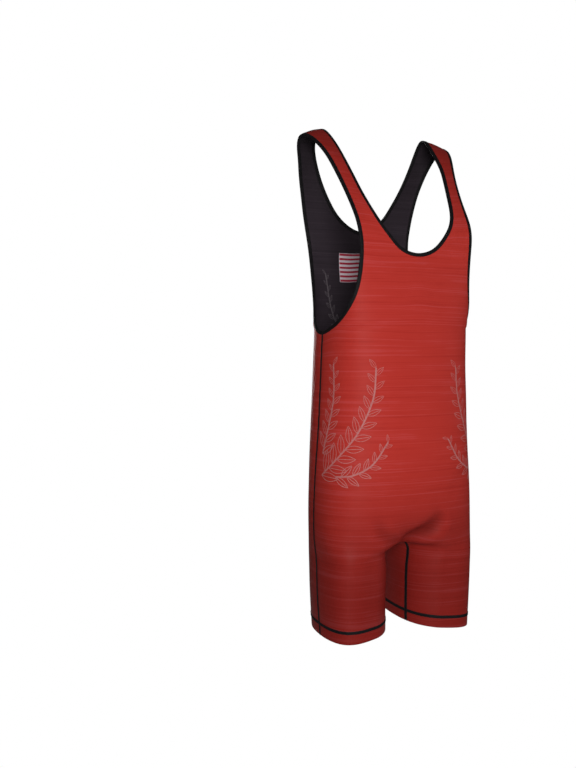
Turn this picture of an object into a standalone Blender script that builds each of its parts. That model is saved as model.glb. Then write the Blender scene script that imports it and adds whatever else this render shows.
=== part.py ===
"""Reversible wrestling singlet, in the shape it keeps when worn, held up at the shoulders.

Two panels of stretch cloth, front and back, meet over the shoulders, down both sides
and along the inseam. A folded binding edges the neck and each armhole.
Metres, +Z up. The wearer faces -Y, so +X is the wearer's left.
The origin lies midway between the two shoulder straps, at the height of the shoulders.
"""
import math
from collections import namedtuple

import bmesh
import bpy
from mathutils import Vector

# Cloth and binding
WALL = 0.0020            # thickness of the two-faced stretch cloth
GAP = 0.0003             # clearance between neighbouring pieces
BINDING_WIDTH = 0.0075   # how far the folded binding reaches onto the cloth, on each face
BINDING_WALL = 0.0009    # thickness of the binding itself
STRAP_INSET = 0.0135     # least distance from a strap's edge to its next column

# Cross-sections
ROUND = 0.04             # squareness of a leg: 0 gives ellipses, more gives flatter sides
COLUMNS = (0, 1 / 3, 2 / 3, 1)   # columns of a half panel, from side to centre
SMOOTH_LEVEL = 1         # subdivisions between the rows and columns of the tables
SETTLE_ROUNDS = 12       # passes that bring the smooth cloth onto the table's places

# The body of the garment: one ring round both panels in each row.
Ring = namedtuple("Ring", "z half front back mid seam_turn square")
TORSO_RINGS = (
    # z, half width, y of front, y of back, y of widest place, angle of side seam from front,
    # squareness
    Ring(-0.400, 0.1370, -0.0960, 0.0862, -0.0010, 89, 0.047),
    Ring(-0.450, 0.1398, -0.0975, 0.0880, -0.0020, 89, 0.042),
    Ring(-0.500, 0.1416, -0.0980, 0.0920, -0.0030, 90, 0.040),
    Ring(-0.550, 0.1436, -0.0985, 0.0960, -0.0055, 93, 0.040),
    Ring(-0.600, 0.1455, -0.0980, 0.0980, -0.0110, 97, 0.042),
    Ring(-0.650, 0.1476, -0.0955, 0.0953, -0.0133, 98, 0.044),
)

# Above the body each panel is cut away for the neck and the arms.
ChestRow = namedtuple("ChestRow", "arm centre turn sag square")
FRONT_CHEST = (
    # armhole edge (x, y, z), centre front (x, y, z), angle of the armhole edge, sag between,
    # squareness
    ChestRow((0.1350, -0.0040, -0.3440), (0, -0.0945, -0.3580), 90, 0, 0.055),
    ChestRow((0.1328, -0.0320, -0.3350), (0, -0.0950, -0.3330), 76, 0.0010, 0.056),
    ChestRow((0.1290, -0.0500, -0.3240), (0, -0.0951, -0.3090), 68, 0.0020, 0.056),
    ChestRow((0.1222, -0.0670, -0.3030), (0, -0.0945, -0.2850), 60, 0.0030, 0.056),
    ChestRow((0.1140, -0.0778, -0.2750), (0, -0.0930, -0.2610), 54, 0.0040, 0.055),
    ChestRow((0.1098, -0.0840, -0.2400), (0, -0.0910, -0.2400), 49, 0.0060, 0.050),
    ChestRow((0.1098, -0.0873, -0.2050), (0, -0.0888, -0.2146), 44, 0.0138, 0.040),
)
BACK_CHEST = (
    # the same, for the back
    ChestRow((0.1350, -0.0040, -0.3440), (0, 0.0868, -0.3560), 90, 0, 0.048),
    ChestRow((0.1320, 0.0250, -0.3340), (0, 0.0881, -0.3240), 79, 0, 0.048),
    ChestRow((0.1238, 0.0470, -0.3100), (0, 0.0905, -0.2920), 69, 0.0010, 0.048),
    ChestRow((0.1132, 0.0700, -0.2770), (0, 0.0932, -0.2590), 57, 0.0020, 0.048),
    ChestRow((0.1068, 0.0880, -0.2400), (0, 0.0955, -0.2260), 49, 0.0030, 0.045),
    ChestRow((0.1050, 0.0985, -0.2040), (0, 0.0962, -0.1950), 45, 0.0040, 0.040),
    ChestRow((0.1074, 0.1032, -0.1720), (0, 0.0945, -0.1600), 42, 0.0070, 0.040),
)

# The straps, from beside the front neckline, over the shoulder, to beside the back one.
StrapRow = namedtuple("StrapRow", "arm neck crown")
STRAP_ROWS = (
    # armhole edge (x, y, z), neck edge (x, y, z), height of the middle above the edges
    StrapRow((0.1118, -0.0862, -0.1830), (0.0300, -0.0885, -0.2070), 0.0008),
    StrapRow((0.1135, -0.0802, -0.1620), (0.0505, -0.0879, -0.1890), 0.0010),
    StrapRow((0.1148, -0.0683, -0.1409), (0.0682, -0.0829, -0.1665), 0.0012),
    StrapRow((0.1167, -0.0531, -0.1175), (0.0795, -0.0717, -0.1421), 0.0014),
    StrapRow((0.1199, -0.0373, -0.0929), (0.0872, -0.0533, -0.1131), 0.0015),
    StrapRow((0.1247, -0.0210, -0.0671), (0.0932, -0.0344, -0.0823), 0.0016),
    StrapRow((0.1320, -0.0036, -0.0404), (0.0982, -0.0131, -0.0506), 0.0018),
    StrapRow((0.1420, 0.0200, -0.0163), (0.1007, 0.0169, -0.0171), 0.0020),
    StrapRow((0.1483, 0.0489, -0.0051), (0.1061, 0.0528, 0.0100), 0.0022),
    StrapRow((0.1443, 0.0697, -0.0193), (0.1067, 0.0775, -0.0092), 0.0024),
    StrapRow((0.1367, 0.0809, -0.0402), (0.1005, 0.0862, -0.0352), 0.0026),
    StrapRow((0.1304, 0.0900, -0.0619), (0.0905, 0.0907, -0.0617), 0.0028),
    StrapRow((0.1243, 0.0966, -0.0850), (0.0781, 0.0938, -0.0874), 0.0028),
    StrapRow((0.1192, 0.1004, -0.1080), (0.0636, 0.0960, -0.1118), 0.0026),
    StrapRow((0.1149, 0.1030, -0.1300), (0.0476, 0.0962, -0.1335), 0.0024),
    StrapRow((0.1110, 0.1038, -0.1510), (0.0262, 0.0951, -0.1510), 0.0016),
)
SHOULDER_ROW = 8         # the strap row on top of the shoulder, where the panels meet

# Where the body parts into two legs: the row just above, then the places under the crotch.
PARTING_RING = Ring(-0.694, 0.1477, -0.0868, 0.0874, -0.0190, 100, 0.056)
PARTING_DROP = 0.006     # the front and back of that row hang lower towards the centre
CROTCH_FRONT = (0, -0.0610, -0.6990)
CROTCH_UNDER = (0, -0.0140, -0.7070)
CROTCH_BACK = (0, 0.0400, -0.7030)

LegRing = namedtuple("LegRing",
                     "z x half front back mid lean seam_turn inseam_turn front_drop outer_drop")
LEG_RINGS = (
    # z, x of the middle, half width, y of front, of back and of widest place,
    # lean of the section forward for each metre outward, angles of side seam and inseam
    # from the front, drop at the front, drop at the outside
    LegRing(-0.7200, 0.0826, 0.0610, -0.0783, 0.0819, -0.0032, 0.158, 99, -70, 0.0000, 0.0050),
    LegRing(-0.7500, 0.0824, 0.0616, -0.0766, 0.0782, -0.0034, 0.153, 97, -69, 0.0000, 0.0020),
    LegRing(-0.7900, 0.0819, 0.0618, -0.0742, 0.0767, 0.0000, 0.178, 95, -67, 0.0020, 0.0016),
    LegRing(-0.8358, 0.0804, 0.0610, -0.0734, 0.0754, 0.0009, 0.186, 93, -66, 0.0053, 0.0044),
    LegRing(-0.8538, 0.0798, 0.0606, -0.0730, 0.0748, 0.0012, 0.193, 92, -65, 0.0055, 0.0054),
)
LEG_COLUMNS = 4          # columns round half a leg

FRONT, BACK = 0, 1
CLOTH_RED = (0.43, 0.036, 0.026)
BINDING_BLACK = (0.012, 0.011, 0.012)


def remove_everything():
    """Start from an empty scene."""
    for item in list(bpy.data.objects):
        bpy.data.objects.remove(item, do_unlink=True)


def ring_offsets(turn, square):
    """Across and along shares of a rounded ring at an angle from its front or back."""
    angle = math.radians(turn)
    across = (math.sin(angle) + square * math.sin(3 * angle)) / (1 - square)
    along = (math.cos(angle) - square * math.cos(3 * angle)) / (1 - square)
    return across, along


def round_point(ring, middle, turn, square):
    """Place on a ring round a middle x. Turn is 0 at the front and 180 at the back."""
    across, along = ring_offsets(turn, square)
    reach = ring.mid - ring.front if along > 0 else ring.back - ring.mid
    return Vector((middle + ring.half * across, ring.mid - reach * along, ring.z))


def torso_row(ring, panel):
    """Half a panel's row on a torso ring, from the side seam to the centre."""
    end = 0 if panel == FRONT else 180
    return [round_point(ring, 0, ring.seam_turn + (end - ring.seam_turn) * share, ring.square)
            for share in COLUMNS]


def chest_row(row):
    """Half a panel's row under the neckline, on an arc from the armhole to the centre."""
    arm, centre = Vector(row.arm), Vector(row.centre)
    across, along = ring_offsets(row.turn, row.square)
    half = arm.x / across
    mid = (arm.y - centre.y * along) / (1 - along)
    points = [arm]
    for share in COLUMNS[1:]:
        across, along = ring_offsets(row.turn * (1 - share), row.square)
        height = arm.z + (centre.z - arm.z) * share ** 1.5 - row.sag * 4 * share * (1 - share)
        points.append(Vector((half * across, mid + (centre.y - mid) * along, height)))
    return points


def strap_rows():
    """Rows of one strap over the shoulder, each from the armhole edge to the neck edge."""
    middles = [(Vector(row.arm) + Vector(row.neck)) / 2 for row in STRAP_ROWS]
    rows = []
    for index, row in enumerate(STRAP_ROWS):
        before = middles[max(index - 1, 0)]
        after = middles[min(index + 1, len(middles) - 1)]
        arm, neck = Vector(row.arm), Vector(row.neck)
        outward = (after - before).cross(neck - arm).normalized()
        inset = max(COLUMNS[1], STRAP_INSET / (neck - arm).length)
        rows.append([arm.lerp(neck, share) + outward * row.crown * 4 * share * (1 - share)
                     for share in (0, inset, 1 - inset, 1)])
    return rows


def parting_row(panel):
    """The lowest row round both legs, with the places under the crotch at its end."""
    row = torso_row(PARTING_RING, panel)[:-1]
    for share, point in zip(COLUMNS, row):
        point.z -= PARTING_DROP * share
    fork = CROTCH_FRONT if panel == FRONT else CROTCH_BACK
    return row + [Vector(fork), Vector(CROTCH_UNDER)]


def leg_row(ring, panel):
    """A row round the front or the back half of the left leg, from side seam to inseam."""
    end = ring.inseam_turn if panel == FRONT else ring.inseam_turn + 360
    points = []
    for column in range(LEG_COLUMNS + 1):
        turn = ring.seam_turn + (end - ring.seam_turn) * column / LEG_COLUMNS
        point = round_point(ring, ring.x, turn, ROUND)
        across, along = ring_offsets(turn, ROUND)
        point.y -= ring.lean * ring.half * across
        point.z -= ring.front_drop * along + ring.outer_drop * across
        points.append(point)
    return points


def panel_rows(panel):
    """All rows of the left half of a panel, from the leg hem up to the shoulder."""
    rows = [leg_row(ring, panel) for ring in reversed(LEG_RINGS)]
    rows.append(parting_row(panel))
    rows += [torso_row(ring, panel) for ring in reversed(TORSO_RINGS)]
    rows += [chest_row(row) for row in (FRONT_CHEST if panel == FRONT else BACK_CHEST)]
    straps = strap_rows()
    if panel == FRONT:
        return rows + straps[:SHOULDER_ROW + 1]
    return rows + straps[:SHOULDER_ROW - 1:-1]


def coarse_cloth():
    """The whole garment's outer face with a vertex at each place that the tables give."""
    cloth = bmesh.new()
    places = {}

    def vertex_at(point):
        key = tuple(round(value, 6) + 0.0 for value in point)
        if key not in places:
            places[key] = cloth.verts.new(point)
        return places[key]

    for panel in (FRONT, BACK):
        rows = panel_rows(panel)
        for side in (1, -1):
            for lower, upper in zip(rows, rows[1:]):
                for column in range(min(len(lower), len(upper)) - 1):
                    corners = (lower[column], lower[column + 1],
                               upper[column + 1], upper[column])
                    quad = [vertex_at(Vector((p.x * side, p.y, p.z))) for p in corners]
                    if (side == 1) == (panel == FRONT):
                        quad.reverse()
                    cloth.faces.new(quad).material_index = panel
    cloth.normal_update()
    return cloth


def inner_edge(vertex):
    """The edge that runs into the cloth from a vertex on its open edge."""
    return next(edge for edge in vertex.link_edges if not edge.is_boundary)


def edge_loops(cloth):
    """The cut edges at the neck and armholes, each a closed list with the cloth on its left."""
    following = {}
    for edge in cloth.edges:
        if edge.is_boundary and edge.verts[0].co.z > TORSO_RINGS[-1].z:
            side = edge.link_loops[0]
            following[side.vert] = side.link_loop_next.vert
    loops = []
    while following:
        vertex = next(iter(following))
        loop = []
        while vertex in following:
            loop.append(vertex)
            vertex = following.pop(vertex)
        loops.append(loop)
    return loops


def with_next(loop):
    """Each member of a closed list with the one after it."""
    return zip(loop, loop[1:] + loop[:1])


def with_neighbours(loop):
    """Each member of a closed list, between the ones before and after it."""
    return zip(loop[-1:] + loop[:-1], loop, loop[1:] + loop[:1])


def off_the_cloth(before, vertex, after):
    """The direction that leaves the cloth at right angles to its edge, along its face."""
    return (after.co - before.co).cross(vertex.normal).normalized()


def add_binding_strips(cloth):
    """Part the cloth a binding's width in from each cut edge, to give the binding its line."""
    for loop in edge_loops(cloth):
        shifts = [off_the_cloth(*group) * BINDING_WIDTH for group in with_neighbours(loop)]
        rim = [cloth.verts.new(vertex.co) for vertex in loop]
        panels = [next(edge.link_faces[0].material_index for edge in vertex.link_edges
                       if edge.is_boundary and after in edge.verts)
                  for _, vertex, after in with_neighbours(loop)]
        for vertex, shift in zip(loop, shifts):
            vertex.co -= shift
        for index, panel in enumerate(panels):
            after = (index + 1) % len(loop)
            corners = (loop[after], loop[index], rim[index], rim[after])
            cloth.faces.new(corners).material_index = panel


def smooth_cloth():
    """Subdivide the coarse cloth so that its limit surface runs through the table's places."""
    coarse = coarse_cloth()
    add_binding_strips(coarse)
    mesh = bpy.data.meshes.new("cloth_guide")
    coarse.to_mesh(mesh)
    coarse.free()
    targets = [vertex.co.copy() for vertex in mesh.vertices]
    guide = bpy.data.objects.new("cloth_guide", mesh)
    bpy.context.scene.collection.objects.link(guide)
    smooth = guide.modifiers.new("smooth", "SUBSURF")
    smooth.levels = smooth.render_levels = SMOOTH_LEVEL
    for _ in range(SETTLE_ROUNDS):
        bpy.context.view_layer.update()
        reached = guide.evaluated_get(bpy.context.evaluated_depsgraph_get()).data
        misses = [target - reached.vertices[i].co for i, target in enumerate(targets)]
        for vertex, miss in zip(mesh.vertices, misses):
            vertex.co += miss
        mesh.update()
    bpy.context.view_layer.update()
    depsgraph = bpy.context.evaluated_depsgraph_get()
    result = bpy.data.meshes.new_from_object(guide.evaluated_get(depsgraph))
    bpy.data.objects.remove(guide, do_unlink=True)
    return result


def cloth_bmesh(mesh):
    """The smooth cloth as a bmesh, with one face from each cut edge to its binding line."""
    cloth = bmesh.new()
    cloth.from_mesh(mesh)
    for loop in edge_loops(cloth):
        middles = {inner_edge(vertex).other_vert(vertex) for vertex in loop}
        between = [edge for edge in cloth.edges if set(edge.verts) <= middles]
        bmesh.ops.dissolve_edges(cloth, edges=between, use_verts=True)
    cloth.verts.index_update()
    cloth.normal_update()
    return cloth


def panels_at(edge):
    """Which panels the faces beside an edge belong to."""
    return {face.material_index for face in edge.link_faces}


def drawn_back(vertex, panel):
    """A vertex's place in one panel, drawn back from the seam by half the gap."""
    seams = [edge for edge in vertex.link_edges if len(panels_at(edge)) == 2]
    if not seams:
        return vertex.co.copy()
    inward = Vector()
    for edge in vertex.link_edges:
        if panels_at(edge) == {panel}:
            inward += (edge.other_vert(vertex).co - vertex.co).normalized()
    seam = seams[0].other_vert(vertex).co - vertex.co
    inward -= inward.project(seam)
    return vertex.co + inward.normalized() * GAP * 0.55


def new_object(name, shape, colour, roughness, parent):
    """Link a finished bmesh as a named object with its own material."""
    mesh = bpy.data.meshes.new(name)
    shape.to_mesh(mesh)
    shape.free()
    mesh.shade_smooth()
    mesh.set_sharp_from_angle(angle=math.radians(50))
    material = bpy.data.materials.new(name)
    material.use_nodes = True
    surface = material.node_tree.nodes["Principled BSDF"]
    surface.inputs["Base Color"].default_value = (*colour, 1)
    surface.inputs["Roughness"].default_value = roughness
    surface.inputs["Metallic"].default_value = 0
    mesh.materials.append(material)
    item = bpy.data.objects.new(name, mesh)
    item.parent = parent
    bpy.context.scene.collection.objects.link(item)
    return item


def add_split(shape, corners):
    """Add a four-cornered face as two triangles, parted where the corners' guides are nearer.

    Each corner is a vertex with a guide place on the bare cloth, so that every piece which
    lies along the same patch of cloth is parted the same way.
    """
    guides = [guide for _, guide in corners]
    first = (guides[0] - guides[2]).length <= (guides[1] - guides[3]).length
    for order in ((0, 1, 2), (0, 2, 3)) if first else ((1, 2, 3), (1, 3, 0)):
        shape.faces.new([corners[index][0] for index in order])


def panel_wall(cloth, panel):
    """One panel as a closed wall: its outer face, its inner face and the edges between."""
    wall = bmesh.new()
    outer, inner = {}, {}
    for vertex in cloth.verts:
        if all(face.material_index != panel for face in vertex.link_faces):
            continue
        place = drawn_back(vertex, panel)
        through = vertex.normal * WALL
        outer[vertex.index] = wall.verts.new(place), vertex.co.copy()
        inner[vertex.index] = wall.verts.new(place - through), vertex.co - through
    for face in cloth.faces:
        if face.material_index != panel:
            continue
        add_split(wall, [outer[vertex.index] for vertex in face.verts])
        add_split(wall, [inner[vertex.index] for vertex in reversed(face.verts)])
        for loop in face.loops:
            if sum(other.material_index == panel for other in loop.edge.link_faces) == 1:
                start, end = loop.vert.index, loop.link_loop_next.vert.index
                add_split(wall, (outer[end], outer[start], inner[start], inner[end]))
    return wall


def binding(loop):
    """A strip folded round the cut edge of the cloth, reaching the same way on each face."""
    shape = bmesh.new()
    near, far = GAP, GAP + BINDING_WALL
    sections = []
    for before, rim, after in with_neighbours(loop):
        free = inner_edge(rim).other_vert(rim)
        away = off_the_cloth(before, rim, after)
        section = []
        for vertex, along, over in ((free, 0, far), (free, 0, near), (rim, near, near),
                                    (rim, near, -near), (free, 0, -near), (free, 0, -far),
                                    (rim, far, -far), (rim, far, far)):
            guide = vertex.co - vertex.normal * (WALL if over < 0 else 0)
            place = guide + away * along + vertex.normal * over
            section.append((shape.verts.new(place), guide))
        sections.append(section)
    for one, other in with_next(sections):
        for (low, high), (low_on, high_on) in zip(with_next(one), with_next(other)):
            add_split(shape, (low, low_on, high_on, high))
    return shape


def build():
    remove_everything()
    holder = bpy.data.objects.new("shoulder_line", None)
    bpy.context.scene.collection.objects.link(holder)
    cloth = cloth_bmesh(smooth_cloth())
    for panel, name in ((FRONT, "front_panel"), (BACK, "back_panel")):
        new_object(name, panel_wall(cloth, panel), CLOTH_RED, 0.6, holder)
    for loop in edge_loops(cloth):
        middle = sum((vertex.co for vertex in loop), Vector()) / len(loop)
        if abs(middle.x) < BINDING_WIDTH:
            name = "neck_binding"
        else:
            name = "armhole_binding_left" if middle.x > 0 else "armhole_binding_right"
        new_object(name, binding(loop), BINDING_BLACK, 0.7, holder)
    cloth.free()


build()
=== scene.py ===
# %% [markdown]
# # A reversible wrestling singlet
#
# The object is a one-piece suit of stretch cloth for wrestling. It is sewn from two panels, a
# front and a back, and each panel is two-faced: red outside, near-black inside. The panels meet
# over the shoulders, down the sides and along the insides of the legs. A black tape is folded
# over the cut edges of the neck and of the armholes, and the legs end in sewn hems.
#
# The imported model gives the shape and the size. This lesson makes the cloth again with finer
# faces, then adds what a camera sees up close: tapes, seams, stitches, prints and finishes.

# %% Frame and tools
import math
from collections import namedtuple
from functools import partial

import bmesh
import bpy
import numpy as np
from mathutils import Matrix, Vector
from mathutils.bvhtree import BVHTree
from mathutils.geometry import barycentric_transform
from mathutils.interpolate import poly_3d_calc


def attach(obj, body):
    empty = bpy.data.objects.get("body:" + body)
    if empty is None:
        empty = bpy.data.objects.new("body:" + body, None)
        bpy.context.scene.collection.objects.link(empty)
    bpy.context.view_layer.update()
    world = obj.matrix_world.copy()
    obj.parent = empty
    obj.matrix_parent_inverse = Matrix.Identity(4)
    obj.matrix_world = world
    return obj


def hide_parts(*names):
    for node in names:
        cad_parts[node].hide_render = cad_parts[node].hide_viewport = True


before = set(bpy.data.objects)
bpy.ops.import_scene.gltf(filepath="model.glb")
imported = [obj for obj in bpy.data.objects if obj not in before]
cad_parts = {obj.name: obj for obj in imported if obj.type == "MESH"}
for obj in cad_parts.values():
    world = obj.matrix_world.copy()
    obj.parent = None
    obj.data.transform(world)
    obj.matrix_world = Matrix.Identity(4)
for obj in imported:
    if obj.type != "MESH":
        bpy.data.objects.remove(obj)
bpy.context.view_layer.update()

# %% [markdown]
# ## Camera, floor and light
#
# The garment hangs in the air as if worn. The camera stands 1.66 m from its middle line, a
# little below the armholes, and sees the front and the wearer's right side. A camera can be
# turned towards a target object, but here its two small turns are worked out as angles, because
# the garment's middle line isn't in the middle of the picture.

# %% Camera
PICTURE_HEIGHT = 768                # in pixels
SENSOR_HEIGHT = 36                  # in millimetres
FOCAL = 938.7                       # focal length in pixels
EYE_LEVEL = 39                      # pixels from the picture's middle up to the camera's height
MIDDLE_LINE = 100.5                 # pixels from the picture's middle to the garment's, rightwards
SPOT = Vector((-0.9041, -1.3922, -0.3660))


def look_from(spot, down, left):
    """A camera at a spot that faces the garment's middle line, then turns down and left."""
    ahead = Vector((-spot.x, -spot.y, 0)).normalized()
    ahead.rotate(Matrix.Rotation(left, 3, "Z"))
    ahead = ahead * math.cos(down) - Vector((0, 0, math.sin(down)))
    camera = bpy.data.objects.new("camera", bpy.data.cameras.new("camera"))
    camera.location = spot
    camera.rotation_euler = ahead.to_track_quat("-Z", "Y").to_euler()
    camera.data.sensor_fit = "VERTICAL"
    camera.data.sensor_height = SENSOR_HEIGHT
    camera.data.lens = FOCAL * SENSOR_HEIGHT / PICTURE_HEIGHT
    bpy.context.scene.collection.objects.link(camera)
    return camera


pitch_down = math.atan(EYE_LEVEL / FOCAL)
turn_left = math.atan(MIDDLE_LINE * math.cos(pitch_down) / FOCAL)
bpy.context.scene.camera = look_from(SPOT, pitch_down, turn_left)
print("camera lens", round(bpy.context.scene.camera.data.lens, 2), "mm")

# %% [markdown]
# The light is that of a product studio. The main soft box stands in front, on the wearer's
# right. A weak one stands on the wearer's left, another stands behind, and the room is white.
# The room is bright to the camera but lights the cloth only a little, so that the folds keep
# their shade.

# %% Light, room and floor
SoftBox = namedtuple("SoftBox", "name place size watts")
SOFT_BOXES = (
    SoftBox("key_light", (-1.05, -2.25, -0.10), 0.9, 53),
    SoftBox("side_light", (2.1, -1.3, 0.0), 1.2, 5),
    SoftBox("back_light", (0.7, 2.3, 0.0), 1.2, 42),
)
LIT_PLACE = Vector((0, 0, -0.45))   # what the boxes face, near the middle of the garment
ROOM_LIGHT = 0.08                   # strength of the room's light on the cloth
FLOOR_HEIGHT, FLOOR_REACH = -1.45, 40

bpy.context.scene.view_settings.view_transform = "Standard"
for box in SOFT_BOXES:
    lamp = bpy.data.lights.new(box.name, "AREA")
    lamp.size = box.size
    lamp.energy = box.watts
    holder = bpy.data.objects.new(box.name, lamp)
    holder.location = box.place
    aim = LIT_PLACE - holder.location
    holder.rotation_euler = aim.to_track_quat("-Z", "Y").to_euler()
    bpy.context.scene.collection.objects.link(holder)


def split_by_ray(tree, to_camera, to_cloth, surface):
    """Show one shader to the camera while another one lights the cloth."""
    either, ray = tree.nodes.new("ShaderNodeMixShader"), tree.nodes.new("ShaderNodeLightPath")
    tree.links.new(ray.outputs["Is Camera Ray"], either.inputs[0])
    tree.links.new(to_cloth, either.inputs[1])
    tree.links.new(to_camera, either.inputs[2])
    tree.links.new(either.outputs[0], surface)


room = bpy.data.worlds.new("white_room")
bpy.context.scene.world = room
room.use_nodes = True
seen = room.node_tree.nodes["Background"]
lighting = room.node_tree.nodes.new("ShaderNodeBackground")
seen.inputs["Color"].default_value = (1, 1, 1, 1)
seen.inputs["Strength"].default_value = 1.0
lighting.inputs["Color"].default_value = (1, 1, 1, 1)
lighting.inputs["Strength"].default_value = ROOM_LIGHT
split_by_ray(room.node_tree, seen.outputs[0], lighting.outputs[0],
             room.node_tree.nodes["World Output"].inputs["Surface"])


def simple_floor(height, reach):
    """A white floor that the camera sees as bright as the room, so that no horizon shows."""
    mesh = bpy.data.meshes.new("floor")
    corners = [(x * reach, y * reach, height) for x, y in ((-1, -1), (1, -1), (1, 1), (-1, 1))]
    mesh.from_pydata(corners, [], [(0, 1, 2, 3)])
    paper = bpy.data.materials.new("floor_paper")
    paper.use_nodes = True
    nodes = paper.node_tree.nodes
    surface, glow = nodes["Principled BSDF"], nodes.new("ShaderNodeEmission")
    surface.inputs["Base Color"].default_value = (0.55, 0.55, 0.55, 1)
    surface.inputs["Roughness"].default_value = 0.9
    split_by_ray(paper.node_tree, glow.outputs[0], surface.outputs[0],
                 nodes["Material Output"].inputs["Surface"])
    mesh.materials.append(paper)
    floor = bpy.data.objects.new("floor", mesh)
    bpy.context.scene.collection.objects.link(floor)
    return floor


simple_floor(FLOOR_HEIGHT, FLOOR_REACH)
print(len(SOFT_BOXES), "soft boxes")

# %% [markdown]
# ## The cutting tables
#
# A pattern maker knows a garment by its girths: how wide and how deep it is at each height, and
# where the edges run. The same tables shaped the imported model. Each row of a table becomes a
# row of points on the left half of a panel, from the side seam to the centre, and the right
# half is its mirror image. A maker would choose a few sizes and work the rest out. Here many of
# the numbers, and nearly all of the strap's, are rounded results of a fitting program.

# %% Tables of the body and legs
COLUMNS = tuple(step / 6 for step in range(7))   # shares of a half panel, side to centre
ROUND = 0.04                        # how far a leg's ring is from an ellipse

Ring = namedtuple("Ring", "z half front back mid seam_turn square")
TORSO_RINGS = (
    Ring(-0.400, 0.1370, -0.0960, 0.0862, -0.0010, 89, 0.047),
    Ring(-0.450, 0.1398, -0.0975, 0.0880, -0.0020, 89, 0.042),
    Ring(-0.500, 0.1416, -0.0980, 0.0920, -0.0030, 90, 0.040),
    Ring(-0.550, 0.1436, -0.0985, 0.0960, -0.0055, 93, 0.040),
    Ring(-0.600, 0.1455, -0.0980, 0.0980, -0.0110, 97, 0.042),
    Ring(-0.650, 0.1476, -0.0955, 0.0953, -0.0133, 98, 0.044),
)
PARTING_RING = Ring(-0.694, 0.1477, -0.0868, 0.0874, -0.0190, 100, 0.056)
PARTING_DROP = 0.006
CROTCH_FRONT = (0, -0.0610, -0.6990)
CROTCH_UNDER = (0, -0.0140, -0.7070)
CROTCH_BACK = (0, 0.0400, -0.7030)

LegRing = namedtuple("LegRing",
                     "z x half front back mid lean seam_turn inseam_turn front_drop outer_drop")
LEG_RINGS = (
    LegRing(-0.7200, 0.0826, 0.0610, -0.0783, 0.0819, -0.0032, 0.158, 99, -70, 0.0000, 0.0050),
    LegRing(-0.7500, 0.0824, 0.0616, -0.0766, 0.0782, -0.0034, 0.153, 97, -69, 0.0000, 0.0020),
    LegRing(-0.7900, 0.0819, 0.0618, -0.0742, 0.0767, 0.0000, 0.178, 95, -67, 0.0020, 0.0016),
    LegRing(-0.8358, 0.0804, 0.0610, -0.0734, 0.0754, 0.0009, 0.186, 93, -66, 0.0053, 0.0044),
    LegRing(-0.8538, 0.0798, 0.0606, -0.0730, 0.0748, 0.0012, 0.193, 92, -65, 0.0055, 0.0054),
)
FORK_SHARE = 0.75                   # how far round a leg the fork of the crotch comes down

# %% Tables of the chest, back and straps
ChestRow = namedtuple("ChestRow", "arm centre turn sag square")
FRONT_CHEST = (
    ChestRow((0.1350, -0.0040, -0.3440), (0, -0.0945, -0.3580), 90, 0, 0.055),
    ChestRow((0.1328, -0.0320, -0.3350), (0, -0.0950, -0.3330), 76, 0.0010, 0.056),
    ChestRow((0.1290, -0.0500, -0.3240), (0, -0.0951, -0.3090), 68, 0.0020, 0.056),
    ChestRow((0.1222, -0.0670, -0.3030), (0, -0.0945, -0.2850), 60, 0.0030, 0.056),
    ChestRow((0.1140, -0.0778, -0.2750), (0, -0.0930, -0.2610), 54, 0.0040, 0.055),
    ChestRow((0.1098, -0.0840, -0.2400), (0, -0.0910, -0.2400), 49, 0.0060, 0.050),
    ChestRow((0.1098, -0.0873, -0.2050), (0, -0.0888, -0.2146), 44, 0.0138, 0.040),
)
BACK_CHEST = (
    ChestRow((0.1350, -0.0040, -0.3440), (0, 0.0868, -0.3560), 90, 0, 0.048),
    ChestRow((0.1320, 0.0250, -0.3340), (0, 0.0881, -0.3240), 79, 0, 0.048),
    ChestRow((0.1238, 0.0470, -0.3100), (0, 0.0905, -0.2920), 69, 0.0010, 0.048),
    ChestRow((0.1132, 0.0700, -0.2770), (0, 0.0932, -0.2590), 57, 0.0020, 0.048),
    ChestRow((0.1068, 0.0880, -0.2400), (0, 0.0955, -0.2260), 49, 0.0030, 0.045),
    ChestRow((0.1050, 0.0985, -0.2040), (0, 0.0962, -0.1950), 45, 0.0040, 0.040),
    ChestRow((0.1074, 0.1032, -0.1720), (0, 0.0945, -0.1600), 42, 0.0070, 0.040),
)
StrapRow = namedtuple("StrapRow", "arm neck crown")
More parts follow.
